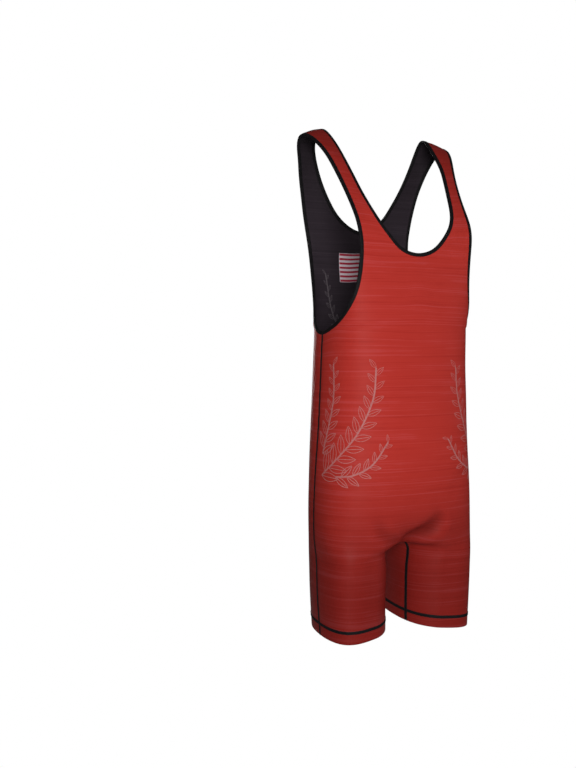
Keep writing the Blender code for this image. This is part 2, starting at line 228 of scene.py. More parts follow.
STRAP_ROWS = (
    StrapRow((0.1118, -0.0862, -0.1830), (0.0300, -0.0885, -0.2070), 0.0008),
    StrapRow((0.1135, -0.0802, -0.1620), (0.0505, -0.0879, -0.1890), 0.0010),
    StrapRow((0.1148, -0.0683, -0.1409), (0.0682, -0.0829, -0.1665), 0.0012),
    StrapRow((0.1167, -0.0531, -0.1175), (0.0795, -0.0717, -0.1421), 0.0014),
    StrapRow((0.1199, -0.0373, -0.0929), (0.0872, -0.0533, -0.1131), 0.0015),
    StrapRow((0.1247, -0.0210, -0.0671), (0.0932, -0.0344, -0.0823), 0.0016),
    StrapRow((0.1320, -0.0036, -0.0404), (0.0982, -0.0131, -0.0506), 0.0018),
    StrapRow((0.1420, 0.0200, -0.0163), (0.1007, 0.0169, -0.0171), 0.0020),
    StrapRow((0.1483, 0.0489, -0.0051), (0.1061, 0.0528, 0.0100), 0.0022),
    StrapRow((0.1443, 0.0697, -0.0193), (0.1067, 0.0775, -0.0092), 0.0024),
    StrapRow((0.1367, 0.0809, -0.0402), (0.1005, 0.0862, -0.0352), 0.0026),
    StrapRow((0.1304, 0.0900, -0.0619), (0.0905, 0.0907, -0.0617), 0.0028),
    StrapRow((0.1243, 0.0966, -0.0850), (0.0781, 0.0938, -0.0874), 0.0028),
    StrapRow((0.1192, 0.1004, -0.1080), (0.0636, 0.0960, -0.1118), 0.0026),
    StrapRow((0.1149, 0.1030, -0.1300), (0.0476, 0.0962, -0.1335), 0.0024),
    StrapRow((0.1110, 0.1038, -0.1510), (0.0262, 0.0951, -0.1510), 0.0016),
)
SHOULDER_ROW = 8
FRONT, BACK = 0, 1
print(len(TORSO_RINGS) + len(LEG_RINGS) + len(FRONT_CHEST) + len(STRAP_ROWS), "table rows")

# %% [markdown]
# A ring isn't quite an ellipse: a body is a little flatter at the front, back and sides. Adding
# a share of the third harmonic to the sine and cosine gives that, with one number.

# %% From tables to rows of points
def ring_offsets(turn, square):
    """Across and along shares of a rounded ring at an angle from its front."""
    angle = math.radians(turn)
    across = (math.sin(angle) + square * math.sin(3 * angle)) / (1 - square)
    along = (math.cos(angle) - square * math.cos(3 * angle)) / (1 - square)
    return across, along


def round_point(ring, middle, turn, square):
    """Place on a ring round a middle x. Turn is 0 at the front and 180 at the back."""
    across, along = ring_offsets(turn, square)
    reach = ring.mid - ring.front if along > 0 else ring.back - ring.mid
    return Vector((middle + ring.half * across, ring.mid - reach * along, ring.z))


def torso_row(ring, panel):
    """Half a panel's row on a torso ring, from the side seam to the centre."""
    end = 0 if panel == FRONT else 180
    return [round_point(ring, 0, ring.seam_turn + (end - ring.seam_turn) * share, ring.square)
            for share in COLUMNS]


def chest_row(row):
    """Half a panel's row beside the armhole, on an arc from its edge to the centre."""
    arm, centre = Vector(row.arm), Vector(row.centre)
    across, along = ring_offsets(row.turn, row.square)
    half = arm.x / across
    mid = (arm.y - centre.y * along) / (1 - along)
    points = [arm]
    for share in COLUMNS[1:]:
        across, along = ring_offsets(row.turn * (1 - share), row.square)
        height = arm.z + (centre.z - arm.z) * share ** 1.5 - row.sag * 4 * share * (1 - share)
        points.append(Vector((half * across, mid + (centre.y - mid) * along, height)))
    return points


def strap_rows():
    """Rows of one strap over the shoulder, each from the armhole edge to the neck edge."""
    middles = [(Vector(row.arm) + Vector(row.neck)) / 2 for row in STRAP_ROWS]
    rows = []
    for index, row in enumerate(STRAP_ROWS):
        before = middles[max(index - 1, 0)]
        after = middles[min(index + 1, len(middles) - 1)]
        arm, neck = Vector(row.arm), Vector(row.neck)
        outward = (after - before).cross(neck - arm).normalized()
        rows.append([arm.lerp(neck, share) + outward * row.crown * 4 * share * (1 - share)
                     for share in COLUMNS])
    return rows


def parting_row(panel):
    """The lowest row round both legs, with the places under the crotch at its end."""
    row = torso_row(PARTING_RING, panel)[:-1]
    for share, point in zip(COLUMNS, row):
        point.z -= PARTING_DROP * share
    fork = CROTCH_FRONT if panel == FRONT else CROTCH_BACK
    return row + [Vector(fork), Vector(CROTCH_UNDER)]


def leg_row(ring, panel):
    """A row round the front or the back half of the left leg, from side seam to inseam."""
    end = ring.inseam_turn if panel == FRONT else ring.inseam_turn + 360
    points = []
    for share in [FORK_SHARE * step / 6 for step in range(7)] + [1]:
        turn = ring.seam_turn + (end - ring.seam_turn) * share
        point = round_point(ring, ring.x, turn, ROUND)
        across, along = ring_offsets(turn, ROUND)
        point.y -= ring.lean * ring.half * across
        point.z -= ring.front_drop * along + ring.outer_drop * across
        points.append(point)
    return points


# %% [markdown]
# The streaks and the knit of the cloth follow the panel as it lay on the cutting table. So each
# point also gets its place on the flat panel, in metres: how far round it is from the centre
# line, and how far up. Over the shoulder the strap lies almost level, so its length is counted
# along the strap and not by height.

# %% Rows with their places on the flat panel
SIDE_FROM_CENTRE = 0.22             # about the width of half a panel, laid flat


def panel_rows(panel):
    """Rows of the left half of a panel, hem to shoulder, as (points, flat places)."""
    legs = [leg_row(ring, panel) for ring in reversed(LEG_RINGS)] + [parting_row(panel)]
    body = [torso_row(ring, panel) for ring in reversed(TORSO_RINGS)]
    body += [chest_row(row) for row in (FRONT_CHEST if panel == FRONT else BACK_CHEST)]
    straps = strap_rows()
    straps = straps[:SHOULDER_ROW + 1] if panel == FRONT else straps[:SHOULDER_ROW - 1:-1]
    rows, lift, last = [], 0, None
    for row in legs + body + straps:
        gaps = [(a - b).length for a, b in zip(row, row[1:])]
        middle = sum(row, Vector()) / len(row)
        if len(rows) > len(legs) + len(body):
            lift += (middle - last).length - (middle.z - last.z)
        last = middle
        start = SIDE_FROM_CENTRE if len(rows) < len(legs) else row[-1].x + sum(gaps)
        flat = [(start - sum(gaps[:column]), point.z + lift) for column, point in enumerate(row)]
        rows.append((row, flat))
    return rows


def coarse_cloth():
    """The outer face of the whole garment, with a vertex at each place of the tables."""
    cloth = bmesh.new()
    flat_map = cloth.loops.layers.uv.new("flat_panel")
    places = {}

    def vertex_at(point):
        key = tuple(round(value, 6) + 0.0 for value in point)
        if key not in places:
            places[key] = cloth.verts.new(point)
        return places[key]

    for panel in (FRONT, BACK):
        rows = panel_rows(panel)
        for side in (1, -1):
            for (low, low_flat), (high, high_flat) in zip(rows, rows[1:]):
                for column in range(min(len(low), len(high)) - 1):
                    corners = [(low[column], low_flat[column]),
                               (low[column + 1], low_flat[column + 1]),
                               (high[column + 1], high_flat[column + 1]),
                               (high[column], high_flat[column])]
                    if (side == 1) == (panel == FRONT):
                        corners.reverse()
                    face = cloth.faces.new(
                        [vertex_at(Vector((p.x * side, p.y, p.z))) for p, _ in corners])
                    face.material_index = panel
                    for loop, (_, (around, up)) in zip(face.loops, corners):
                        loop[flat_map].uv = (around * side, up)
    cloth.normal_update()
    return cloth


# %% [markdown]
# The open edges matter later: the neck and the armholes get tapes, and the legs get hems. These
# helpers find each edge as a closed loop, name it, and tell which way leads off the cloth.

# %% Find the cut edges
NEAR_CENTRE = 0.01                  # a line with its middle this near the centre is one of a kind
LEG_TOP = -0.7


def open_edges(cloth):
    """The open edges, each a closed list of vertices with the cloth on its left."""
    following = {}
    for edge in cloth.edges:
        if edge.is_boundary:
            side = edge.link_loops[0]
            following[side.vert] = side.link_loop_next.vert
    loops = []
    while following:
        vertex = next(iter(following))
        loop = []
        while vertex in following:
            loop.append(vertex)
            vertex = following.pop(vertex)
        loops.append(loop)
    return loops


def edge_name(loop):
    """The garment's name for one of its open edges."""
    middle = sum((vertex.co for vertex in loop), Vector()) / len(loop)
    if abs(middle.x) < NEAR_CENTRE:
        return "neck"
    return ("hem_" if middle.z < LEG_TOP else "armhole_") + ("left" if middle.x > 0 else "right")


def with_neighbours(loop):
    """Each member of a closed list, between the ones before and after it."""
    return zip(loop[-1:] + loop[:-1], loop, loop[1:] + loop[:1])


def off_the_cloth(before, after, normal):
    """The direction that leaves the cloth at right angles to its edge, along its face."""
    return (after - before).cross(normal).normalized()


# %% [markdown]
# ## Smooth cloth
#
# A subdivision surface turns the coarse rows into cloth without a facet. It draws the surface
# inside its cage, so a plain Subdivision Surface would make the garment smaller than its
# tables. A few passes push the cage outwards until the smooth cloth runs through the places
# that the tables give.

# %% Smooth the cloth
FINE_LEVEL = 3
SETTLE_ROUNDS = 3


def smooth_cloth(level, rounds):
    """Subdivide the coarse cloth so that the surface runs through the table's places."""
    coarse = coarse_cloth()
    mesh = bpy.data.meshes.new("cloth_guide")
    coarse.to_mesh(mesh)
    coarse.free()
    targets = [vertex.co.copy() for vertex in mesh.vertices]
    guide = bpy.data.objects.new("cloth_guide", mesh)
    bpy.context.scene.collection.objects.link(guide)
    smooth = guide.modifiers.new("smooth", "SUBSURF")
    smooth.levels = smooth.render_levels = level
    for _ in range(rounds):
        bpy.context.view_layer.update()
        reached = guide.evaluated_get(bpy.context.evaluated_depsgraph_get()).data
        misses = [target - reached.vertices[i].co for i, target in enumerate(targets)]
        for vertex, miss in zip(mesh.vertices, misses):
            vertex.co += miss
        mesh.update()
    bpy.context.view_layer.update()
    depsgraph = bpy.context.evaluated_depsgraph_get()
    result = bpy.data.meshes.new_from_object(guide.evaluated_get(depsgraph))
    bpy.data.objects.remove(guide, do_unlink=True)
    print("largest miss", round(max(miss.length for miss in misses) * 1000, 3), "mm")
    return result


cloth_mesh = smooth_cloth(FINE_LEVEL, SETTLE_ROUNDS)
print("smooth cloth:", len(cloth_mesh.polygons), "faces")

# %% [markdown]
# ## Creases
#
# Close-fitting stretch cloth has few creases. They fan from the crotch, and soft ones cross the
# small of the back and the seat. Cloth simulation would find its own creases and lose the cut,
# so each one is given as a path with a width and a depth: a trough with a low ridge on
# one side and a lower one on the other, fading at both ends. No two are alike.

# %% Table of creases
Crease = namedtuple("Crease", "face path width depth ridge")
CREASES = (
    # face the path is seen from, (x, z) of its points, half width, depth of trough and ridge
    Crease("front", ((-0.020, -0.697), (0.006, -0.693), (0.026, -0.683), (0.041, -0.668),
                     (0.055, -0.650)), 0.0150, 0.0095, 0.0030),
    Crease("front", ((-0.018, -0.697), (-0.046, -0.692), (-0.066, -0.678), (-0.082, -0.650)),
           0.0110, 0.0036, 0.0012),
    Crease("front", ((0.030, -0.714), (0.048, -0.706), (0.070, -0.700)),
           0.0080, 0.0011, 0.0007),
    Crease("front", ((-0.032, -0.718), (-0.048, -0.714), (-0.066, -0.706)),
           0.0070, 0.0009, 0.0005),
    Crease("front", ((0.060, -0.610), (0.088, -0.596), (0.112, -0.590)),
           0.0110, 0.0008, 0.0004),
    Crease("back", ((0.004, -0.699), (0.020, -0.688), (0.044, -0.678), (0.070, -0.672)),
           0.0085, 0.0028, 0.0015),
    Crease("back", ((-0.006, -0.700), (-0.024, -0.692), (-0.050, -0.684), (-0.078, -0.682)),
           0.0080, 0.0024, 0.0013),
    Crease("back", ((0.030, -0.718), (0.050, -0.720), (0.072, -0.714)),
           0.0075, 0.0012, 0.0008),
    Crease("back", ((-0.031, -0.726), (-0.050, -0.728), (-0.074, -0.720)),
           0.0080, 0.0010, 0.0006),
    Crease("back", ((-0.052, -0.452), (-0.016, -0.460), (0.022, -0.456), (0.056, -0.446)),
           0.0120, 0.0016, 0.0010),
    Crease("back", ((0.012, -0.486), (0.046, -0.480), (0.076, -0.470)),
           0.0110, 0.0010, 0.0006),
    Crease("back", ((-0.080, -0.420), (-0.050, -0.428), (-0.020, -0.426)),
           0.0110, 0.0009, 0.0005),
)
RIDGE_AT, LOW_RIDGE_AT = 1.7, -2.1  # where the ridges stand, in half widths from the path
FAR = 9.0                           # metres, farther than any place from any line


def surface_of(mesh):
    """A search tree over a mesh, to find places on the cloth."""
    corners = [vertex.co.copy() for vertex in mesh.vertices]
    return BVHTree.FromPolygons(corners, [tuple(face.vertices) for face in mesh.polygons])


def seen_place(surface, face, across, height):
    """Where a level line meets the cloth, coming from the front or from the back."""
    away = -1 if face == "front" else 1
    place = surface.ray_cast(Vector((across, away, height)), Vector((0, -away, 0)))[0]
    if place is None:
        raise ValueError(f"no cloth at {across}, {height}")
    return place


def distances(places, normals, path):
    """Each place's signed distance from a path, and its share of the path's length."""
    best = np.full(len(places), FAR)
    signed, share = best.copy(), best.copy()
    lengths = [(b - a).length for a, b in zip(path, path[1:])]
    for index, (start, end) in enumerate(zip(path, path[1:])):
        along = np.array(end - start)
        reach = along @ along
        part = np.clip((places - np.array(start)) @ along / reach, 0, 1)
        offset = places - np.array(start) - part[:, None] * along
        length = np.linalg.norm(offset, axis=1)
        side = np.sign(np.einsum("ij,ij->i", np.cross(along, normals), offset))
        nearer = length < best
        best[nearer] = length[nearer]
        signed[nearer] = (length * side)[nearer]
        share[nearer] = ((sum(lengths[:index]) + part * lengths[index]) / sum(lengths))[nearer]
    return signed, share


def crease_depths(mesh, creases):
    """How far each vertex moves in along its normal for the creases, in metres."""
    places = np.array([vertex.co for vertex in mesh.vertices])
    normals = np.array([item.vector for item in mesh.vertex_normals])
    surface = surface_of(mesh)
    depth = np.zeros(len(places))
    for crease in creases:
        path = [seen_place(surface, crease.face, *point) for point in crease.path]
        signed, share = distances(places, normals, path)
        fade = np.clip(np.sin(np.pi * np.clip(share, 0, 1)), 0, 1) ** 0.8
        across = signed / crease.width
        depth += fade * (crease.depth * np.exp(-across ** 2)
                         - crease.ridge * np.exp(-(across - RIDGE_AT) ** 2)
                         - 0.5 * crease.ridge * np.exp(-(across - LOW_RIDGE_AT) ** 2))
    return depth, normals


depths, cloth_normals = crease_depths(cloth_mesh, CREASES)
print(len(CREASES), "creases, deepest", round(depths.max() * 1000, 2), "mm")

# %% [markdown]
# A seam is stiffer than the cloth beside it. It draws the cloth in by a fraction of a
# millimetre, unevenly. These small dents are added to the creases before the cloth gets its
# thickness. The depth of the creases alone is kept at each place as painted_fold_shade, for painted
# shade.

# %% Seam channels
SEAM_PULL, SEAM_REACH = 0.0005, 0.0045
FULL_FOLD = 0.008                   # depth of a crease that gets all of the painted fold shade


def seam_vertices(mesh):
    """Places of the vertices where the front panel meets the back panel."""
    panels = {}
    for face in mesh.polygons:
        for index in face.vertices:
            panels.setdefault(index, set()).add(face.material_index)
    return np.array([mesh.vertices[i].co for i, kinds in panels.items() if len(kinds) == 2])


def pulled_in(mesh, lines, pull, reach):
    """How far each vertex is drawn in by seams, more in some places than in others."""
    places = np.array([vertex.co for vertex in mesh.vertices])
    nearest = np.full(len(places), FAR)
    for start in range(0, len(lines), 64):
        gaps = np.linalg.norm(places[:, None] - lines[None, start:start + 64], axis=2)
        nearest = np.minimum(nearest, gaps.min(axis=1))
    height = places[:, 2]
    uneven = 1 + 0.35 * np.sin(height * 310) + 0.25 * np.sin(height * 730 + 1.3)
    return pull * uneven * np.exp(-(nearest / reach) ** 2)


crease_only = depths.copy()
depths += pulled_in(cloth_mesh, seam_vertices(cloth_mesh), SEAM_PULL, SEAM_REACH)
for vertex, normal, depth in zip(cloth_mesh.vertices, cloth_normals, depths):
    vertex.co -= Vector(normal * depth)
cloth_mesh.update()
# painted shade: each crease's depth is kept, to darken the red where a crease is deep
painted_fold_shade = cloth_mesh.attributes.new("painted_fold_shade", "FLOAT", "POINT")
painted_fold_shade.data.foreach_set("value", np.clip(crease_only / FULL_FOLD, 0, 1).astype(np.float32))
cloth = bmesh.new()
cloth.from_mesh(cloth_mesh)
cloth.verts.ensure_lookup_table()
cloth.normal_update()
outer_surface = surface_of(cloth_mesh)
outer_faces = [tuple(face.vertices) for face in cloth_mesh.polygons]
print("cloth with creases:", len(cloth.verts), "vertices")


def cloth_at(place):
    """The nearest place on the outer face of the cloth, and the smooth normal there."""
    spot, _, index, _ = outer_surface.find_nearest(place)
    corners = [cloth.verts[i] for i in outer_faces[index]]
    weights = poly_3d_calc([corner.co for corner in corners], spot)
    normal = sum((corner.normal * weight for corner, weight in zip(corners, weights)), Vector())
    return spot, normal.normalized()


# %% [markdown]
# ## Finishes: the cloth
#
# The cloth is a smooth nylon knit with a printed heather: broken level streaks a few
# millimetres tall and many centimetres long, some lighter and some darker. The streaks come
# from noise that is stretched far more along the panel than up it. As both faces need them, the
# streaks are a node group. So is the fine grain of the knit, which the prints need too.

# %% Helpers for materials
def socket_group(name, inputs, outputs):
    """An empty shader group with named sockets, and its input and output nodes."""
    group = bpy.data.node_groups.new(name, "ShaderNodeTree")
    for label, kind, value in inputs:
        socket = group.interface.new_socket(label, in_out="INPUT", socket_type=kind)
        if value is not None:
            socket.default_value = value
    for label, kind in outputs:
        group.interface.new_socket(label, in_out="OUTPUT", socket_type=kind)
    return group, group.nodes.new("NodeGroupInput"), group.nodes.new("NodeGroupOutput")


def feed(tree, sockets, values):
    """Set each socket to its number or link it to its source. None leaves it as it is."""
    for socket, value in zip(sockets, values):
        if isinstance(value, (int, float)):
            socket.default_value = value
        elif value is not None:
            tree.links.new(value, socket)


def math_node(tree, operation, first, second=None, third=None):
    """A Math node fed by numbers or sockets. Gives its output socket."""
    node = tree.nodes.new("ShaderNodeMath")
    node.operation = operation
    feed(tree, node.inputs, (first, second, third))
    return node.outputs[0]


def vector_node(tree, x=None, y=None, z=None):
    """A Combine XYZ node fed by numbers or sockets. Gives its output socket."""
    node = tree.nodes.new("ShaderNodeCombineXYZ")
    feed(tree, node.inputs, (x, y, z))
    return node.outputs[0]


def stretched(tree, vector, scale, shift=(0, 0, 0)):
    """A vector scaled by axis, then shifted."""
    node = tree.nodes.new("ShaderNodeVectorMath")
    node.operation = "MULTIPLY_ADD"
    tree.links.new(vector, node.inputs[0])
    node.inputs[1].default_value = scale
    node.inputs[2].default_value = shift
    return node.outputs[0]


def noise_value(tree, vector, detail):
    """Noise at unit scale on a vector that is already scaled."""
    node = tree.nodes.new("ShaderNodeTexNoise")
    node.inputs["Scale"].default_value = 1
    node.inputs["Detail"].default_value = detail
    node.inputs["Roughness"].default_value = 0.5
    tree.links.new(vector, node.inputs["Vector"])
    return node.outputs["Fac"]


def spread(tree, value, low, high, to_low=0.0, to_high=1.0):
    """A value between low and high, spread smoothly over another range and clamped."""
    node = tree.nodes.new("ShaderNodeMapRange")
    node.interpolation_type = "SMOOTHSTEP"
    tree.links.new(value, node.inputs["Value"])
    for label, number in (("From Min", low), ("From Max", high),
                          ("To Min", to_low), ("To Max", to_high)):
        node.inputs[label].default_value = number
    return node.outputs["Result"]


def blend_colours(tree, share, first, second):
    """A mix of two colours, each a tuple or a socket."""
    node = tree.nodes.new("ShaderNodeMix")
    node.data_type = "RGBA"
    tree.links.new(share, node.inputs["Factor"])
    for socket, colour in ((node.inputs[6], first), (node.inputs[7], second)):
        if isinstance(colour, tuple):
            socket.default_value = (*colour, 1)
        else:
            tree.links.new(colour, socket)
    return node.outputs[2]


# %% Streaks and knit as node groups
def make_streaks():
    """Heather: broken level streaks. Gives masks of light and dark ones, and a cloud."""
    tree, given, made = socket_group(
        "heather_streaks", [("Flat place", "NodeSocketVector", None)],
        [("Light", "NodeSocketFloat"), ("Dark", "NodeSocketFloat"), ("Cloud", "NodeSocketFloat")])
    flat = given.outputs["Flat place"]
    fine = noise_value(tree, stretched(tree, flat, (3.0, 430, 1)), 1.5)
    broad = noise_value(tree, stretched(tree, flat, (2.0, 120, 1), (7, 3, 0)), 1.5)
    breaks = noise_value(tree, stretched(tree, flat, (17, 50, 1), (2, 9, 4)), 2)
    both = math_node(tree, "MULTIPLY_ADD", broad, 0.55, math_node(tree, "MULTIPLY", fine, 0.9))
    broken = math_node(tree, "MULTIPLY_ADD", breaks, 0.3, both)
    tree.links.new(spread(tree, broken, 0.92, 1.07), made.inputs["Light"])
    tree.links.new(spread(tree, broken, 0.84, 0.68), made.inputs["Dark"])
    cloud = noise_value(tree, stretched(tree, flat, (14, 14, 1), (5, 1, 2)), 3)
    tree.links.new(cloud, made.inputs["Cloud"])
    return tree


def make_knit():
    """The grain of a fine knit: upright ribs of loops, each rib a column of small arches."""
    tree, given, made = socket_group(
        "knit_grain",
        [("Flat place", "NodeSocketVector", None), ("Loops per metre", "NodeSocketFloat", 1100.0)],
        [("Height", "NodeSocketFloat")])
    split = tree.nodes.new("ShaderNodeSeparateXYZ")
    tree.links.new(given.outputs["Flat place"], split.inputs[0])
    per_metre = given.outputs["Loops per metre"]
    rib = math_node(tree, "MULTIPLY", split.outputs["X"], per_metre)
    course = math_node(tree, "MULTIPLY", split.outputs["Y"], per_metre)
    half_rib = math_node(tree, "PINGPONG", rib, 0.5)
    arch = math_node(tree, "MULTIPLY_ADD", half_rib, 0.9, course)
    loops = math_node(tree, "PINGPONG", arch, 0.5)
    grain = math_node(tree, "MULTIPLY_ADD", half_rib, 0.8, loops)
    fuzz = noise_value(tree, stretched(tree, given.outputs["Flat place"], (1900, 1900, 1)), 2)
    tree.links.new(math_node(tree, "MULTIPLY_ADD", fuzz, 0.5, grain), made.inputs["Height"])
    return tree


streaks, knit = make_streaks(), make_knit()
print("node groups:", streaks.name, knit.name)

# %% [markdown]
# The red face is brightest on the chest and darkens to a deep wine red towards the hems and
# over the shoulders: painted shade, where less light falls. Shade is painted too at the bottom
# of a deep crease, where little light gets in. The black face is not quite black: a warm
# purple grey, with the same painted shade towards the hems and over the shoulders.

# %% Cloth materials
# high is the dye's own colour; low is that dye under painted shade, towards the hems and shoulders
DyeAndShade = namedtuple("DyeAndShade", "high low light_streak dark_streak amount")
RED_DYE_AND_SHADE = DyeAndShade((0.415, 0.0300, 0.0220), (0.200, 0.0130, 0.0100), (0.460, 0.051, 0.051),
              (0.350, 0.0220, 0.0165), 0.65)
BLACK_DYE_AND_SHADE = DyeAndShade((0.0260, 0.0190, 0.0245), (0.0150, 0.0112, 0.0140), (0.036, 0.027, 0.034),
                (0.0200, 0.0150, 0.0188), 0.6)
HEM_SHADE_HEIGHTS, SHOULDER_SHADE_HEIGHTS = (-0.80, -0.52), (-0.17, 0.01)   # heights between which the painted shade comes in
SHOULDER_BRIGHTNESS = 0.15                    # brightness left on the shoulders under the painted shade
STREAK_IN_SHADE = 0.5                    # brightness of a streak where the painted shade is deepest
FOLD_SHADE_BRIGHTNESS = 0.3                      # brightness of the painted shade in a deep crease
FOLD_SHADE = 0.55                   # how much of that painted shade shows at the crease's bottom


def place_group(tree, group, **inputs):
    """A node that uses a group, with links to some of its inputs."""
    node = tree.nodes.new("ShaderNodeGroup")
    node.node_tree = group
    for label, source in inputs.items():
        tree.links.new(source, node.inputs[label.replace("_", " ")])
    return node


def start_material(name, roughness, specular, sheen=0.0, sheen_tint=(1, 1, 1)):
    """A new material with its constant values set on the shader's own sockets."""
    material = bpy.data.materials.new(name)
    material.use_nodes = True
    surface = material.node_tree.nodes["Principled BSDF"]
    surface.inputs["Roughness"].default_value = roughness
    surface.inputs["Specular IOR Level"].default_value = specular
    surface.inputs["Sheen Weight"].default_value = sheen
    surface.inputs["Sheen Roughness"].default_value = 0.4
    surface.inputs["Sheen Tint"].default_value = (*sheen_tint, 1)
    return material, material.node_tree, surface


def add_bump(tree, surface, height, distance, strength):
    """Feed a height into the shader's normal through a Bump node."""
    bump = tree.nodes.new("ShaderNodeBump")
    bump.inputs["Distance"].default_value = distance
    bump.inputs["Strength"].default_value = strength
    tree.links.new(height, bump.inputs["Height"])
    tree.links.new(bump.outputs["Normal"], surface.inputs["Normal"])


def dimmed(colour, share):
    """A colour made darker."""
    return tuple(share * part for part in colour)


def dyed_cloth_with_painted_shade(name, dye, roughness):
    """One face of the two-faced cloth, with painted shade by height and in deep creases."""
    material, tree, surface = start_material(name, roughness, 0.06)
    flat = tree.nodes.new("ShaderNodeUVMap")
    flat.uv_map = "flat_panel"
    where = tree.nodes.new("ShaderNodeTexCoord").outputs["Object"]
    height = tree.nodes.new("ShaderNodeSeparateXYZ")
    tree.links.new(where, height.inputs[0])
    masks = place_group(tree, streaks, Flat_place=flat.outputs["UV"])
    # painted shade: darker towards the hems and over the shoulders, where less light falls
    hem_shade = spread(tree, height.outputs["Z"], *HEM_SHADE_HEIGHTS)
    shoulder_shade = spread(tree, height.outputs["Z"], *SHOULDER_SHADE_HEIGHTS, 1.0, SHOULDER_BRIGHTNESS)
    fade = math_node(tree, "MULTIPLY", hem_shade, shoulder_shade)
    ground = blend_colours(tree, fade, dye.low, dye.high)
    lit = blend_colours(tree, fade, dimmed(dye.light_streak, STREAK_IN_SHADE), dye.light_streak)
    dim = blend_colours(tree, fade, dimmed(dye.dark_streak, STREAK_IN_SHADE), dye.dark_streak)
    light = math_node(tree, "MULTIPLY", masks.outputs["Light"], dye.amount)
    dark = math_node(tree, "MULTIPLY", masks.outputs["Dark"], dye.amount)
    colour = blend_colours(tree, light, ground, lit)
    colour = blend_colours(tree, dark, colour, dim)
    # painted shade: the red darkens towards the bottom of each deep crease
    wear_and_fold_shade = tree.nodes.new("ShaderNodeAttribute")
    wear_and_fold_shade.attribute_name = "painted_fold_shade"
    shade = math_node(tree, "MULTIPLY", wear_and_fold_shade.outputs["Fac"], FOLD_SHADE)
    colour = blend_colours(tree, shade, colour, dimmed(dye.low, FOLD_SHADE_BRIGHTNESS))
    tree.links.new(colour, surface.inputs["Base Color"])
    rough = math_node(tree, "MULTIPLY_ADD", masks.outputs["Cloud"], 0.12, roughness - 0.06)
    tree.links.new(rough, surface.inputs["Roughness"])
    grain = place_group(tree, knit, Flat_place=flat.outputs["UV"])
    add_bump(tree, surface, grain.outputs["Height"], 0.00012, 0.5)
    return material


red_face = dyed_cloth_with_painted_shade("red_face", RED_DYE_AND_SHADE, 0.48)
black_face = dyed_cloth_with_painted_shade("black_face", BLACK_DYE_AND_SHADE, 0.52)
print("cloth materials:", red_face.name, black_face.name)

# %% [markdown]
# ## The two panels
#
# Each panel is a closed wall 2 mm thick: a red face outside, a black face inside, and an edge
# between. A Solidify modifier would do that too, but the hems need a rounded edge whose red
# turns to black a third of the way round, so the wall is made face by face.

# %% Build the panels
WALL = 0.0020
RED, BLACK = 0, 1
HEM_ARC = 6                         # faces round the fold of a hem
RED_ARC = 2                         # how many of them are red


def new_piece(name, shape, materials):
    """Link a finished bmesh as a named object with its materials."""
    mesh = bpy.data.meshes.new(name)
    shape.to_mesh(mesh)
    shape.free()
    mesh.shade_smooth()
    mesh.set_sharp_from_angle(angle=math.radians(60))
    for material in materials:
        mesh.materials.append(material)
    piece = bpy.data.objects.new(name, mesh)
    bpy.context.scene.collection.objects.link(piece)
    return piece


def hem_folds(cloth):
    """For each vertex on a hem, the points of the fold from the outer face to the inner."""
    folds = {}
    for loop in open_edges(cloth):
        if not edge_name(loop).startswith("hem"):
            continue
        for before, vertex, after in with_neighbours(loop):
            away = off_the_cloth(before.co, after.co, vertex.normal)
            middle = vertex.co - vertex.normal * WALL / 2
            turns = [math.pi * step / HEM_ARC for step in range(1, HEM_ARC)]
            folds[vertex.index] = [
                middle + (vertex.normal * math.cos(turn) + away * math.sin(turn)) * WALL / 2
                for turn in turns]
    return folds


def panel_wall(cloth, panel, folds):
    """One panel as a closed wall with its places on the flat panel."""
    wall = bmesh.new()
    flat_in, flat_out = cloth.loops.layers.uv.active, wall.loops.layers.uv.new("flat_panel")
    shade_in = cloth.verts.layers.float["painted_fold_shade"]
    shade_out = wall.verts.layers.float.new("painted_fold_shade")
    outer, inner, fold = {}, {}, {}
    for vertex in cloth.verts:
        if any(face.material_index == panel for face in vertex.link_faces):
            outer[vertex.index] = wall.verts.new(vertex.co)
            inner[vertex.index] = wall.verts.new(vertex.co - vertex.normal * WALL)
            arc = [wall.verts.new(point) for point in folds.get(vertex.index, ())]
            fold[vertex.index] = [outer[vertex.index], *arc, inner[vertex.index]]
            outer[vertex.index][shade_out] = vertex[shade_in]

    def add(corners, flats, finish):
        face = wall.faces.new(corners)
        face.material_index = finish
        for loop, flat in zip(face.loops, flats):
            loop[flat_out].uv = flat

    for face in cloth.faces:
        if face.material_index != panel:
            continue
        indices = [vertex.index for vertex in face.verts]
        flats = [loop[flat_in].uv.copy() for loop in face.loops]
        add([outer[i] for i in indices], flats, RED)
        add([inner[i] for i in reversed(indices)], flats[::-1], BLACK)
        for loop in face.loops:
            if sum(other.material_index == panel for other in loop.edge.link_faces) != 1:
                continue
            start, end = loop.vert.index, loop.link_loop_next.vert.index
            ends = [loop.link_loop_next[flat_in].uv, loop[flat_in].uv]
            steps = list(zip(zip(fold[start], fold[start][1:]), zip(fold[end], fold[end][1:])))
            for step, ((one, one_on), (other, other_on)) in enumerate(steps):
                finish = RED if step < RED_ARC and len(steps) > 1 else BLACK
                add((other, one, one_on, other_on), ends + ends[::-1], finish)
    return wall


folds = hem_folds(cloth)
front_cloth = new_piece("front_cloth", panel_wall(cloth, FRONT, folds), (red_face, black_face))
back_cloth = new_piece("back_cloth", panel_wall(cloth, BACK, folds), (red_face, black_face))
for piece in (front_cloth, back_cloth):
    print(piece.name, len(piece.data.polygons), "faces")

# %% [markdown]
# ## Prints
#
# The prints are pressed on the panels while they still lie flat, so they are drawn flat too, in
# the panel's own places: how far from the centre line, and how high. They are about a tenth of
# a millimetre thick. A laying function carries every point of a drawing to the cloth and keeps
# it 0.03 mm off the cloth's face. The sprigs on the hips and the back are line drawings of
# leaves. Leaves along a stem repeat, so Geometry Nodes draw them.

